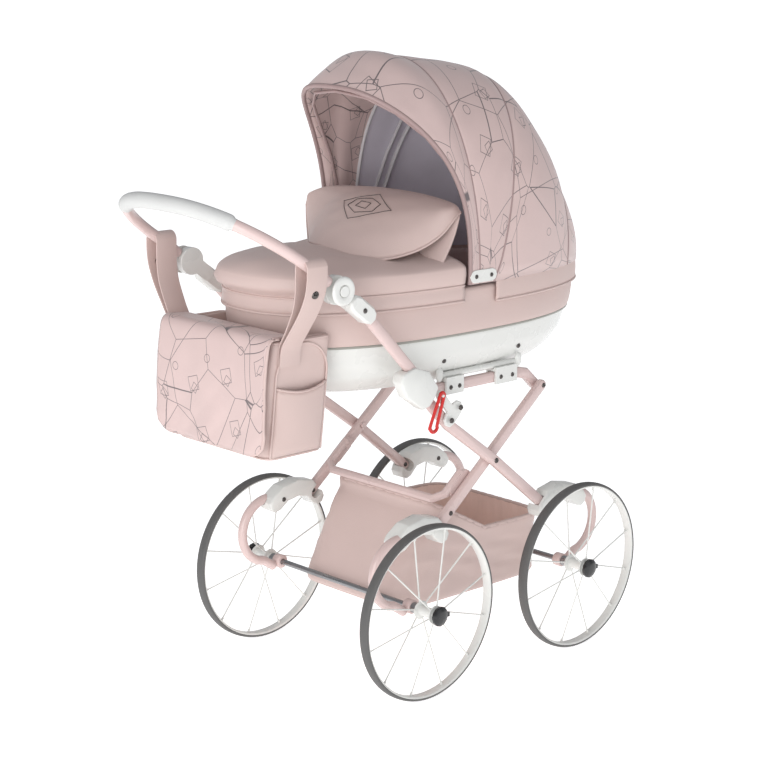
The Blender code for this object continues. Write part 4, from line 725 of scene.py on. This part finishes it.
def print_lines(name, colour, ink, rough, cell, width, **sockets):
    """Satin with a printed net of thin lines: rings, diamonds and squares take turns on a slanted grid.

    Each figure is a distance to its own outline; the ink lies where the distance is under half the width.
    """
    material = finish(name, colour, rough, 0.07, 0.04, 0.0006, 0.12, **sockets)
    tree = material.node_tree
    shader = tree.nodes["Principled BSDF"]

    def calc(kind, a, b=None):
        node = tree.nodes.new("ShaderNodeMath")
        node.operation = kind
        for socket, value in zip(node.inputs, (a, b)):
            if hasattr(value, "links"):
                tree.links.new(value, socket)
            elif value is not None:
                socket.default_value = value
        return node.outputs[0]

    def figure(across, down, size):
        """Outline distances of a ring, a diamond and a square of this size."""
        ax, ay = calc("ABSOLUTE", across), calc("ABSOLUTE", down)
        ring = calc("SQRT", calc("ADD", calc("MULTIPLY", ax, ax), calc("MULTIPLY", ay, ay)))
        return [calc("ABSOLUTE", calc("SUBTRACT", part, size)) for part in
                (ring, calc("MULTIPLY", calc("ADD", ax, ay), 0.72), calc("MAXIMUM", ax, ay))]

    place = tree.nodes.new("ShaderNodeUVMap")
    place.uv_map = "cut"
    lay = tree.nodes.new("ShaderNodeMapping")
    lay.inputs["Rotation"].default_value = (0, 0, math.radians(28))
    lay.inputs["Scale"].default_value = (1 / cell, 1 / cell, 1)
    link(place, "UV", lay, "Vector")
    parts = tree.nodes.new("ShaderNodeSeparateXYZ")
    link(lay, "Vector", parts, 0)
    x, y = parts.outputs["X"], parts.outputs["Y"]
    px = calc("SUBTRACT", calc("FRACT", x), 0.5)
    py = calc("SUBTRACT", calc("FRACT", y), 0.5)
    row = calc("FLOOR", y)
    odd = calc("MODULO", calc("ABSOLUTE", calc("ADD", calc("FLOOR", x), row)), 2.0)
    third = calc("MODULO", calc("ABSOLUTE", calc("ADD", calc("FLOOR", x), calc("MULTIPLY", row, 2.0))), 3.0)
    big = figure(px, py, 0.20)
    small = figure(calc("ADD", px, 0.10), calc("SUBTRACT", py, 0.08), 0.11)
    plain = calc("MINIMUM", big[1], small[2])
    other = calc("MINIMUM", small[0], calc("ADD", small[1], 0.02))
    near = calc("ADD", calc("MULTIPLY", plain, calc("SUBTRACT", 1.0, odd)), calc("MULTIPLY", other, odd))
    near = calc("ADD", near, calc("LESS_THAN", third, 0.5))
    nets = []
    for scale, jitter in ((0.62, 1.0), (0.38, 0.8)):
        net = tree.nodes.new("ShaderNodeTexVoronoi")
        net.feature = "DISTANCE_TO_EDGE"
        net.inputs["Scale"].default_value = scale
        net.inputs["Randomness"].default_value = jitter
        link(lay, "Vector", net, "Vector")
        nets.append(calc("MULTIPLY", net.outputs["Distance"], 1 / scale))
    line = calc("MINIMUM", near, calc("MINIMUM", nets[0], nets[1]))
    mask = tree.nodes.new("ShaderNodeMapRange")
    mask.interpolation_type = "SMOOTHSTEP"
    mask.inputs["From Min"].default_value = width / cell * 0.35
    mask.inputs["From Max"].default_value = width / cell * 0.75
    mask.inputs["To Min"].default_value = 1.0
    mask.inputs["To Max"].default_value = 0.0
    tree.links.new(line, mask.inputs["Value"])
    inked = tree.nodes.new("ShaderNodeMix")
    inked.data_type = "RGBA"
    inked.inputs[7].default_value = tone(*ink)
    tree.links.new(tree.nodes["shade"].outputs[2], inked.inputs[6])
    link(mask, "Result", inked, 0)
    tree.links.new(inked.outputs[2], shader.inputs["Base Color"])
    foil = calc("MULTIPLY", mask.outputs["Result"], 0.45)
    tree.links.new(foil, shader.inputs["Metallic"])
    thread = tree.nodes.new("ShaderNodeTexWave")
    thread.inputs["Scale"].default_value = 260
    thread.inputs["Distortion"].default_value = 0.6
    link(place, "UV", thread, "Vector")
    raised = tree.nodes["raised"]
    tree.links.new(thread.outputs["Fac"], raised.inputs["Height"])
    raised.inputs["Distance"].default_value = 0.00012
    raised.inputs["Strength"].default_value = 0.35
    return material


satin = print_lines("printed_satin", (206, 182, 178), (122, 112, 113), 0.40, 0.046, 0.0007,
                    Sheen_Weight=0.25, Sheen_Roughness=0.35)


def build_flap():
    """Crest and free edge are two curves across the pram; the pad is spread between them with a swell
    outwards and a back that closes on the front all round."""
    across = np.linspace(0, 1, 61)
    crest = fold_over([(0.038, -0.121, 0.6380), (0.034, -0.110, 0.6490), (0.030, -0.06, 0.6560),
                       (0.025, 0.0, 0.6580), (0.016, 0.05, 0.6570), (0.002, 0.095, 0.6530),
                       (-0.012, 0.117, 0.6420)], across)
    free = fold_over([(0.026, -0.121, 0.6300), (0.000, -0.119, 0.6090), (-0.036, -0.110, 0.5920),
                      (-0.076, -0.088, 0.5830), (-0.102, -0.045, 0.5850), (-0.100, 0.005, 0.5900),
                      (-0.080, 0.045, 0.5885), (-0.048, 0.080, 0.5870), (-0.028, 0.103, 0.5920),
                      (-0.018, 0.116, 0.6080), (-0.016, 0.119, 0.6280)], across)
    hinge_in = np.sin(np.pi * across) ** 0.3
    normal = np.array([-0.525, 0.0, 0.851])
    down = np.linspace(0, 1, 25)
    body = np.sin(np.pi * down) ** 0.75
    front = crest[None] + (free - crest)[None] * down[:, None, None]
    lift = (0.0125 * body[:, None]
            + 0.0060 * np.sin(np.pi * down / 2)[:, None] * (1 - down[:, None]) * 2) * hinge_in
    pucker = crease(front[..., 0] * 2, front[..., 1], 0.07, 0.0009) * body[:, None]
    front = front + normal * (lift + pucker)[..., None]
    back = crest[None] + (free - crest)[None] * down[::-1, None, None]
    back = back - normal * (0.0040 * body[::-1, None] * hinge_in)[..., None]
    grid = np.concatenate([front, back[1:-1]], 0)
    uv = span_uv(grid, False)
    pad = shape("wind_flap_pad", grid, rows_to_quads(len(grid), 61, True, False), leather, "wind_flap",
                "faux_leather", uv=np.concatenate([uv, uv[-240:]]))
    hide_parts("apron_flap")
    edge = np.concatenate([free[::1]])
    shape("wind_flap_piping",
          *tube(smooth_path(np.concatenate([crest[:1], edge, crest[-1:]]), 160), 0.0016, 10,
                                    (0.3, 0.0, 1.0)), leather, "wind_flap", "faux_leather")
    hem = np.column_stack([np.full(61, AXLE_X + 0.0440), np.linspace(-0.127, 0.127, 61), np.zeros(61)])
    hem[:, 2] = 0.5450 + 0.0590 * (1 - np.abs(hem[:, 1] / 0.1385) ** 1.75) ** (1 / 1.75)
    share = np.linspace(0, 1, 9)[:, None, None]
    web = hem[None] + (crest - hem)[None] * share
    web = web + np.array([0.006, 0, 0]) * np.sin(np.pi * share)
    web_piece = shape("wind_flap_web", web, rows_to_quads(9, 61), leather, "wind_flap", "faux_leather",
                      uv=span_uv(web, False))
    thick = web_piece.modifiers.new("cloth", "SOLIDIFY")
    thick.thickness = 0.002
    mark = []
    for radius, corners, turn in ((0.110, 4, 0.0), (0.062, 6, 30.0), (0.030, 4, 45.0)):
        corner = np.radians(np.linspace(0, 360, corners + 1) + turn)
        figure = np.stack([0.46 + radius * np.cos(corner), 0.42 + 2.0 * radius * np.sin(corner)], -1)
        line = np.concatenate([np.linspace(p, q, 14, endpoint=False) for p, q in zip(figure, figure[1:])])
        a, d = line[:, 0] * 60, line[:, 1] * 24
        i, j = d.astype(int), a.astype(int)
        s, r = (d - i)[:, None], (a - j)[:, None]
        laid = (front[i, j] * (1 - s) + front[i + 1, j] * s) * (1 - r) + \
            (front[i, j + 1] * (1 - s) + front[i + 1, j + 1] * s) * r
        mark.append(tube(laid + normal * 0.0004, 0.00042, 6, normal, closed=True))
    shape("wind_flap_motif", *gather(mark), screw_metal, "wind_flap", "faux_leather")


build_flap()

# Hood
# Printed satin panels are sewn over two bows and piped at each seam. The rim turns in as a printed
# facing, the inside is lavender-grey lining with piped bow pockets, and a skirt hangs outside the band.
hood_lining = finish("hood_lining", (206, 200, 210), 0.72, 0.08, 0.03, 0.0006, 0.30, Sheen_Weight=0.3)
lining_piping = finish("lining_piping", (186, 182, 184), 0.55, 0.05, 0.02, 0.0006, 0.2)
HOOD_ROWS = np.array([
    (92.6, -0.0340, 0.7965, 2.75, 3.0), (92.1, -0.0080, 0.8140, 2.50, 2.6), (91.5, 0.0300, 0.8345, 2.35, 2.2),
    (90.5, 0.0740, 0.8325, 2.35, 1.7), (89.3, 0.1250, 0.8230, 2.42, 1.2), (88.2, 0.1700, 0.8170, 2.48, 0.9),
    (87.3, 0.2100, 0.8100, 2.54, 0.75), (83.57, 0.2450, 0.7870, 2.50, 0.8),
    (70.71, 0.2740, 0.7570, 2.45, 0.9), (57.86, 0.3080, 0.7200, 2.40, 1.0), (45.0, 0.3340, 0.6760, 2.35, 1.0),
    (32.14, 0.3630, 0.6270, 2.35, 1.0), (19.29, 0.3850, 0.5860, 2.35, 1.0),
    (6.43, 0.4064, 0.5580, 2.35, 1.0)])
SEAMS = (3.05, 6.0, 9.6)


def hood_points(rows, inset, columns=73, bulge=0.0060):
    """Arches of the hood at row places 0 to 13, inset metres inside the outer face.

    An arch is a power oval from foot to foot; the cloth stands out a little between seams, and sinks at them.
    """
    rows = np.asarray(rows, float)
    turn, apex_x, apex_z, fullness, sweep = fold_over(HOOD_ROWS, rows / 13).T[:, :, None]
    side = plan(np.radians(turn[:, 0]), COT_HALF + 0.0033)
    foot_x, half = side[:, :1] - AXLE_X, side[:, 1:]
    angle = np.linspace(0, math.pi, columns)[None]
    across = -np.sign(np.cos(angle)) * np.abs(np.cos(angle)) ** (2 / fullness) * half
    up = np.abs(np.sin(angle)) ** (2 / fullness)
    x = foot_x + (apex_x - foot_x) * up ** sweep
    z = BELT_TOP + 0.004 + (apex_z - BELT_TOP - 0.004) * up
    grid = np.stack([x + AXLE_X, across, z], -1)
    out = grid - np.array([AXLE_X + 0.16, 0.0, 0.60])
    out[..., 2] = np.maximum(out[..., 2], 0)
    out /= np.linalg.norm(out, axis=2, keepdims=True)
    marks = np.array((-0.3,) + SEAMS + (13.5,))
    i = np.clip(np.searchsorted(marks, rows, side="right") - 1, 0, len(marks) - 2)
    share = (rows - marks[i]) / (marks[i + 1] - marks[i])
    stand = bulge * (np.sin(np.pi * share) ** 0.6)[:, None] * np.clip(up * 1.5, 0, 1)
    if inset:
        stand = stand - inset * np.clip(up * 6, 0.25, 1)
    return grid + out * stand[..., None]


def fold_hood(piece):
    """Takes the piece off its body and bakes its place in the world into its mesh."""
    piece.parent = None
    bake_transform(piece)
    return piece


def build_hood():
    rows = np.unique(np.concatenate([np.linspace(0, 13, 92), SEAMS]))
    outer = hood_points(rows, 0.0)
    canopy = shape("hood_canopy", outer, rows_to_quads(len(outer), 73), satin, "carrycot", "printed_fabric",
                   uv=span_uv(outer, False))
    thick = canopy.modifiers.new("cloth", "SOLIDIFY")
    thick.thickness = 0.0016
    thick.offset = -1
    fold_hood(canopy)
    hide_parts("hood_fabric")
    turn_in = np.array([0.0, 0.10, 0.30, 0.6, 1.0, 1.5, 2.0, 2.5, 3.0, 3.5, 3.9, 4.3])
    inset = np.array([0.0010, 0.0045, 0.0080, 0.0100, 0.0120, 0.0135, 0.0125, 0.0140, 0.0150, 0.0145, 0.0150,
                      0.0155])
    facing = np.stack([hood_points([r], d)[0] for r, d in zip(turn_in, inset)])
    facing_piece = shape("hood_facing", facing, rows_to_quads(len(facing), 73)[:, ::-1], satin, "carrycot",
                         "printed_fabric", uv=span_uv(facing, False, True))
    fold_hood(facing_piece)
    inner_rows = np.linspace(4.3, 12.9, 60)
    inner = np.stack([hood_points([r], d, bulge=0.004)[0] for r, d in
                      zip(inner_rows,
                          np.interp(inner_rows, [4.3, 5.5, 8, 12.9], [0.0155, 0.0150, 0.0120, 0.0070]))])
    lining = shape("hood_inner", inner, rows_to_quads(len(inner), 73)[:, ::-1], hood_lining, "carrycot",
                   "printed_fabric", uv=span_uv(inner, False, True))
    fold_hood(lining)
    for k, place in enumerate(SEAMS):
        arc_line = hood_points([place], -0.0006)[0]
        fold_hood(shape(f"hood_seam_{k + 1}",
                        *tube(smooth_path(arc_line, 140), 0.0023, 10, (1.0, 0.0, 0.2)), satin_piping,
                        "carrycot", "printed_fabric"))
    for k, (place, depth) in enumerate(((4.3, 0.0160), (6.6, 0.0165))):
        pocket = hood_points([place], depth)[0]
        fold_hood(shape(f"hood_pocket_{k + 1}",
                        *tube(smooth_path(pocket, 120), 0.0032, 10, (1.0, 0.0, 0.2), flat=0.7),
                        lining_piping, "carrycot", "printed_fabric"))
    rim = hood_points([0.0], 0.0)[0]
    fold_hood(shape("hood_rim", *tube(smooth_path(rim, 160), 0.0032, 12, (1.0, 0.0, 0.2)), satin_piping,
                    "carrycot",
                    "printed_fabric"))
    count = 121
    fine = plan(np.linspace(-math.radians(86.4), math.radians(86.4), 2001), COT_HALF + 0.0036)
    run = np.concatenate([[0], np.cumsum(np.linalg.norm(np.diff(fine, axis=0), axis=1))])
    edge = np.stack([np.interp(np.linspace(0, run[-1], count), run, fine[:, k]) for k in (0, 1)], -1)
    levels = [(0.0004, 0.5165), (0.0010, 0.5230), (0.0012, 0.5320), (0.0006, 0.5400), (0.0000, 0.5460),
              (-0.0012, 0.5520)]
    centre = np.array([COT_X, 0.0])
    out = (edge - centre) / np.linalg.norm(edge - centre, axis=1, keepdims=True)
    band = np.stack([np.column_stack([edge + out * grow, np.full(count, z)]) for grow, z in levels])
    skirt = shape("hood_skirt", band, rows_to_quads(len(band), count), leather, "carrycot", "faux_leather",
                  uv=span_uv(band, False))
    thick = skirt.modifiers.new("cloth", "SOLIDIFY")
    thick.thickness = 0.0020
    thick.offset = -1
    hem = np.column_stack([edge + out * 0.0006, np.full(count, 0.5175)])
    shape("hood_hem", *tube(hem, 0.0016, 10, (0.0, 0.0, 1.0)), leather, "carrycot", "faux_leather")


satin_piping = finish("satin_piping", (160, 136, 134), 0.45, 0.08, 0.02, 0.0007, 0.18)
build_hood()

for node, sleeve in (("hood_front_bow", satin_piping), ("hood_middle_bow", lining_piping)):
    eased_copy(node, sleeve, 0)

# Bag
# A faux-leather changing bag hangs from the handle by two straps with snaps. Its sides bulge, a pocket
# with an elastic top sits on each end, and a printed lid with round corners falls over its face.


def bag_outline(z, grow=0.0, count=128):
    """The bag's plan at height z, from its middle in front round both ends, at even distances."""
    share = (0.5020 - z) / 0.1570
    half = 0.1060 - 0.0160 * share + grow
    sag = 0.008 * math.sin(math.pi * min(max(share, 0) * 1.1, 1.0))
    back = -0.2180 - grow - sag
    middle = -0.1880 + grow + 0.036 * min(max(share - 0.3, 0.0) * 2.2, 1.0)
    front = -0.1240 + grow
    share_y = np.linspace(0, 0.87, 26)
    points = [np.stack([middle + (front - middle) * share_y ** 14, half * share_y], -1)]
    for cx, corner, start in ((front - 0.010, 0.010, 0), (back + 0.016, 0.016, 90)):
        a = np.radians(np.linspace(start, start + 90, 12))
        points.append(np.stack([cx + corner * np.cos(a), half - corner + corner * np.sin(a)], -1))
    one = np.concatenate(points)
    loop = np.concatenate([one, one[::-1] * [1, -1]])
    run = np.concatenate([[0], np.cumsum(np.linalg.norm(np.diff(loop, axis=0), axis=1))])
    even = np.linspace(0, run[-1], count, endpoint=False)
    flat = np.stack([np.interp(even, run, loop[:, k]) for k in (0, 1)], -1)
    return np.column_stack([flat[:, 0] + AXLE_X, flat[:, 1], np.full(count, z)])


def build_bag():
    """The body is rings of the outline with a soft sag; the lid is a profile swept across, its lower
    corners rounded by lifting the hem; straps are flat webs that loop over the bar."""
    high = np.array([0.3455, 0.3458, 0.3480, 0.3530, 0.3600])
    levels = np.concatenate([high, np.linspace(0.37, 0.495, 16), [0.5000, 0.5020]])
    grow = np.concatenate([[-0.020, -0.007, -0.0025, -0.0008, 0.0], np.zeros(16), [-0.0005, -0.0020]])
    rings = [bag_outline(z, g) for z, g in zip(levels, grow)]
    centre = np.mean(rings[0], axis=0)
    floor = [centre + (rings[0] - centre) * s for s in (0.02, 0.5)]
    inner = [bag_outline(z, -0.0045) for z in np.concatenate([[0.5005], np.linspace(0.49, 0.352, 12)])]
    inner_floor = [centre * [1, 1, 0] + (inner[-1] - centre * [1, 1, 0]) * [s, s, 1] for s in (0.5, 0.02)]
    grid = np.stack(floor + rings + inner + inner_floor)
    wall = np.arange(len(grid)) > 1
    face = np.clip((AXLE_X - 0.205 - grid[..., 0]) / 0.01, 0, 1)
    grid[..., 0] += crease(grid[..., 1], grid[..., 2], 0.09, 0.0010) * wall[:, None] * face
    grid[..., 1] += crease(grid[..., 0], grid[..., 2] + 0.3, 0.07, 0.0008) * wall[:, None] * \
        np.clip((np.abs(grid[..., 1]) - 0.098) / 0.006, 0, 1)
    bag = shape("changing_bag_body", grid, rows_to_quads(len(grid), 128, False, True), leather,
                "changing_bag",
                "faux_leather", uv=span_uv(grid, True))
    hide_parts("bag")
    trim = []
    for z, g in ((0.3500, -0.0012), (0.4995, -0.0010)):
        trim.append(tube(bag_outline(z, g, 160), 0.0014, 10, (0.0, 0.0, 1.0), closed=True))
    shape("bag_piping", *gather(trim), leather, "changing_bag", "faux_leather")
    pockets = []
    for sign in (-1, 1):
        z = np.linspace(0.352, 0.4420, 14)
        x = np.linspace(-0.2120, -0.1300, 20)
        zz, xx = np.meshgrid(z, x, indexing="ij")
        zz = zz - 0.007 * np.sin(np.pi * (xx + 0.2120) / 0.082) * np.clip((zz - 0.40) / 0.042, 0, 1)
        half = 0.1060 - 0.0160 * (0.5020 - zz) / 0.1570
        stand = 0.0012 + 0.0085 * np.sin(np.pi * np.clip((xx + 0.2120) / 0.082, 0, 1)) ** 0.6 * \
            np.sin(np.pi * np.clip((zz - 0.352) / 0.110, 0, 1)) ** 0.6
        gatherings = 0.0008 * np.sin(xx * 900) * np.clip((zz - 0.425) / 0.017, 0, 1)
        panel = np.stack([xx + AXLE_X, sign * (half + stand + gatherings), zz], -1)
        quads = rows_to_quads(14, 20)
        pockets.append((panel, quads if sign < 0 else quads[:, ::-1]))
        top = panel[-1]
        pockets.append(tube(top, 0.0016, 8, (0.0, 0.0, 1.0)))
        turn = np.linspace(math.pi, 0, 31)
        arch = np.concatenate([[(-0.2135, z) for z in np.linspace(0.352, 0.450, 14)],
                               np.stack([-0.1712 + 0.0423 * np.cos(turn),
                                         0.4540 + 0.0420 * np.sin(turn)], -1),
                               [(-0.1289, z) for z in np.linspace(0.450, 0.352, 14)]])
        arch_y = sign * (0.1064 - 0.0160 * (0.5020 - arch[:, 1]) / 0.1570)
        pockets.append(tube(np.column_stack([arch[:, 0] + AXLE_X, arch_y, arch[:, 1]]), 0.0015, 8))
    pocket = shape("bag_end_pockets", *gather(pockets), leather, "changing_bag", "faux_leather")
    thick = pocket.modifiers.new("cloth", "SOLIDIFY")
    thick.thickness = 0.0012
    thick.offset = -1
    top = 0.5026
    section = fold_over([(-0.1880, top + 0.0010), (-0.2060, top + 0.0020), (-0.2200, top + 0.0030),
                         (-0.2270, top - 0.0020), (-0.2305, top - 0.0180), (-0.2335, top - 0.0450),
                         (-0.2350, top - 0.0800), (-0.2350, top - 0.1150),
                         (-0.2345, top - 0.1440)], np.linspace(0, 1, 44))
    side = np.linspace(-1, 1, 61)
    half = 0.1036
    corner = 0.026
    beyond = np.clip((np.abs(side) * half - (half - corner)) / corner, 0, 1)
    lift = corner * (1 - np.sqrt(1 - beyond ** 2 * 0.9999))
    run = np.concatenate([[0], np.cumsum(np.linalg.norm(np.diff(section, axis=0), axis=1))])
    reach = run[-1] - lift
    place = run[:, None] / run[-1] * reach[None]
    x = np.interp(place, run, section[:, 0])
    z = np.interp(place, run, section[:, 1])
    low = np.clip((top - 0.02 - z) / 0.12, 0, 1)
    x = (x - 0.0016 * np.sin(side * 7.0 + 0.6)[None] * low ** 1.5
         - 0.0012 * crease(x, side[None] * half + z, 0.06, 1.0) * low)
    lid_grid = np.stack([x + AXLE_X, np.broadcast_to(side * half, x.shape), z], -1)
    lid = shape("bag_lid_cover", lid_grid, rows_to_quads(44, 61)[:, ::-1], satin, "bag_lid", "printed_fabric",
                uv=span_uv(lid_grid, False, True))
    thick = lid.modifiers.new("cloth", "SOLIDIFY")
    thick.thickness = 0.0030
    thick.offset = -1
    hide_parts("bag_flap")
    edge = np.concatenate([lid_grid[8:, 0], lid_grid[-1, 1:-1], lid_grid[8:, -1][::-1]])
    shape("bag_lid_binding", *tube(smooth_path(edge, 240), 0.0019, 10, (1.0, 0.0, 0.1)), leather, "bag_lid",
          "faux_leather")
    straps = []
    snaps = []
    hang_x = BAR_BEND[0]
    for sign in (-1, 1):
        fork = np.concatenate([[(0.1036, 0.4700), (0.1050, 0.4950), (0.1170, 0.5170), (0.1300, 0.5450),
                                (0.1340, 0.5660), (0.1345, 0.5820), (0.1345, 0.5970)],
                               [(0.1450 - 0.0105 * math.cos(a), 0.5975 + 0.0105 * math.sin(a))
                                for a in np.linspace(0.3, math.pi - 0.3, 7)],
                               [(0.1555, 0.5970), (0.1550, 0.5820), (0.1515, 0.5640), (0.1400, 0.5400),
                                (0.1210, 0.5120), (0.1095, 0.4940), (0.1062, 0.4700)]])
        line = fold_over(fork, np.linspace(0, 1, 90))
        tangent = np.gradient(line, axis=0)
        tangent /= np.linalg.norm(tangent, axis=1, keepdims=True)
        normal = np.stack([-tangent[:, 1], tangent[:, 0]], -1) * 0.0009
        width = np.array([-0.0160, -0.0158, -0.0150, 0.0160, 0.0168, 0.0170])
        fat = np.array([0.35, 0.8, 1.0, 1.0, 0.8, 0.35])
        front = np.stack([np.column_stack([np.full(90, hang_x + w), sign * (line + normal * f)[:, 0],
                                           (line + normal * f)[:, 1]]) for w, f in zip(width, fat)], 1)
        rear = np.stack([np.column_stack([np.full(90, hang_x + w), sign * (line - normal * f)[:, 0],
                                          (line - normal * f)[:, 1]])
                         for w, f in zip(width[::-1], fat[::-1])], 1)
        ring = np.concatenate([front, rear], 1)
        caps = np.concatenate([np.repeat(ring[:1].mean(1, keepdims=True), 12, 1), ring,
                               np.repeat(ring[-1:].mean(1, keepdims=True), 12, 1)])
        quads = rows_to_quads(len(caps), 12, False, True)
        straps.append((caps, quads if sign > 0 else quads[:, ::-1]))
        snaps.append(screw_head((hang_x, sign * 0.1525, 0.5660), sign, 0.0056))
    shape("bag_straps", *gather(straps), leather, "changing_bag", "faux_leather", sharp=50)
    shape("bag_snaps", *gather(snaps), screw_metal, "changing_bag", "steel", sharp=40)


build_bag()

# Basket
# A faux-leather tub is slung between the axles and the hoop, lined with gathered peach satin.
peach_satin = finish("peach_satin", (242, 216, 206), 0.38, 0.10, 0.03, 0.0007, 0.2, Sheen_Weight=0.35,
                     Sheen_Roughness=0.3)


def tub(inset, levels, count=160):
    """Rings from the floor to the hem: a squarish outline whose back leans to the hoop as it rises and
    whose hem falls from the hoop to the front."""
    rings = []
    for share, draw in levels:
        rear = AXLE_X + 0.0060 + 0.066 * min(share * 1.1, 1.0) ** 1.3 + inset
        fore = AXLE_X + 0.2985 - inset
        turn = np.linspace(0, 2 * math.pi, 1441)
        c, s = np.cos(turn), np.sin(turn)
        loop = np.stack([(rear + fore) / 2 + (fore - rear) / 2 * np.sign(c) * np.abs(c) ** 0.30 * draw,
                         (0.1070 - inset - 0.004 * math.sin(math.pi * share))
                         * np.sign(s) * np.abs(s) ** 0.30 * draw], -1)
        run = np.concatenate([[0], np.cumsum(np.linalg.norm(np.diff(loop, axis=0), axis=1))])
        even = np.linspace(0, run[-1], count, endpoint=False)
        flat = np.stack([np.interp(even, run, loop[:, k]) for k in (0, 1)], -1)
        hem = np.interp(flat[:, 0], [AXLE_X + 0.072, AXLE_X + 0.1700, AXLE_X + 0.30],
                        [0.2400, 0.1890, 0.1870])
        floor = 0.1012 + inset
        rings.append(np.column_stack([flat, floor + share * (hem - floor)]))
    return np.stack(rings)


def build_basket():
    outside = [(0.0, 0.02), (0.0, 0.6), (0.0, 0.95), (0.01, 0.985)]
    outside += [(s, 1.0) for s in np.linspace(0.05, 1.0, 22)]
    shell = tub(0.0, outside)
    ripple = crease(shell[..., 0], shell[..., 2] * 2 + shell[..., 1], 0.08, 0.0016)
    shell[4:, :, 1] += ripple[4:] * np.sin(np.linspace(0, math.pi, len(shell) - 4))[:, None]
    body = shape("basket_cloth", shell, rows_to_quads(len(shell), 160, False, True), leather, "chassis",
                 "faux_leather", uv=span_uv(shell, True))
    thick = body.modifiers.new("cloth", "SOLIDIFY")
    thick.thickness = 0.0016
    thick.offset = -1
    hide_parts("basket")
    inside = tub(0.0026, outside)
    wave = np.arange(160) / 160 * 2 * math.pi
    gathers = 0.0011 * np.sin(wave * 46 + 0.7 * np.sin(wave * 7)) + 0.0006 * np.sin(wave * 83)
    climb = np.linspace(0, 1, len(inside))[:, None] ** 0.6
    toward = inside.mean((0, 1)) - inside
    toward[..., 2] = 0
    toward /= np.linalg.norm(toward, axis=2, keepdims=True) + 1e-9
    inside = inside + toward * ((gathers[None] + 0.0017) * climb)[..., None]
    lining = shape("basket_satin", inside, rows_to_quads(len(inside), 160, False, True)[:, ::-1], peach_satin,
                   "chassis", "faux_leather", uv=span_uv(inside, True, True))
    hem = (shell[-1] + inside[-1]) / 2
    hem[:, 2] += 0.0006
    shape("basket_hem", *tube(hem, 0.0026, 10, (0.0, 0.0, 1.0), closed=True), leather, "chassis",
          "faux_leather")


build_basket()

# Pull loops
# A red webbing loop hangs from a screw on each lock plate; pulling it lets the frame fold.
red_webbing = finish("red_webbing", (200, 22, 16), 0.45, 0.10, 0.01, 0.0006, 0.5, Sheen_Weight=0.2)


def build_loops():
    """Each loop is a flat band that runs round the screw and hangs with a rounder foot."""
    for hand, sign in (("right", -1), ("left", 1)):
        top = np.array([AXLE_X + 0.0330, 0.4055])
        foot = np.array([AXLE_X + 0.0185, 0.3660])
        tops = [top + 0.0040 * np.array([math.cos(a), math.sin(a)])
                for a in np.radians(np.linspace(-40, 170, 7))]
        feet = [foot + 0.0068 * np.array([math.cos(a), math.sin(a)])
                for a in np.radians(np.linspace(165, 380, 8))]
        keys = np.array(tops + feet + tops[:1])
        line = smooth_path(keys, 90)[:-1]
        path = np.column_stack([line[:, 0], np.full(len(line), sign * 0.1491), line[:, 1]])
        grid, quads = tube(path, 0.0026, 12, (0.0, 1.0, 0.0), closed=True, flat=0.75)
        loop = shape(f"webbing_loop_{hand}", grid, quads, red_webbing, f"pull_loop_{hand}", "red_webbing")
        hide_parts(f"pull_loop_{hand}")


build_loops()
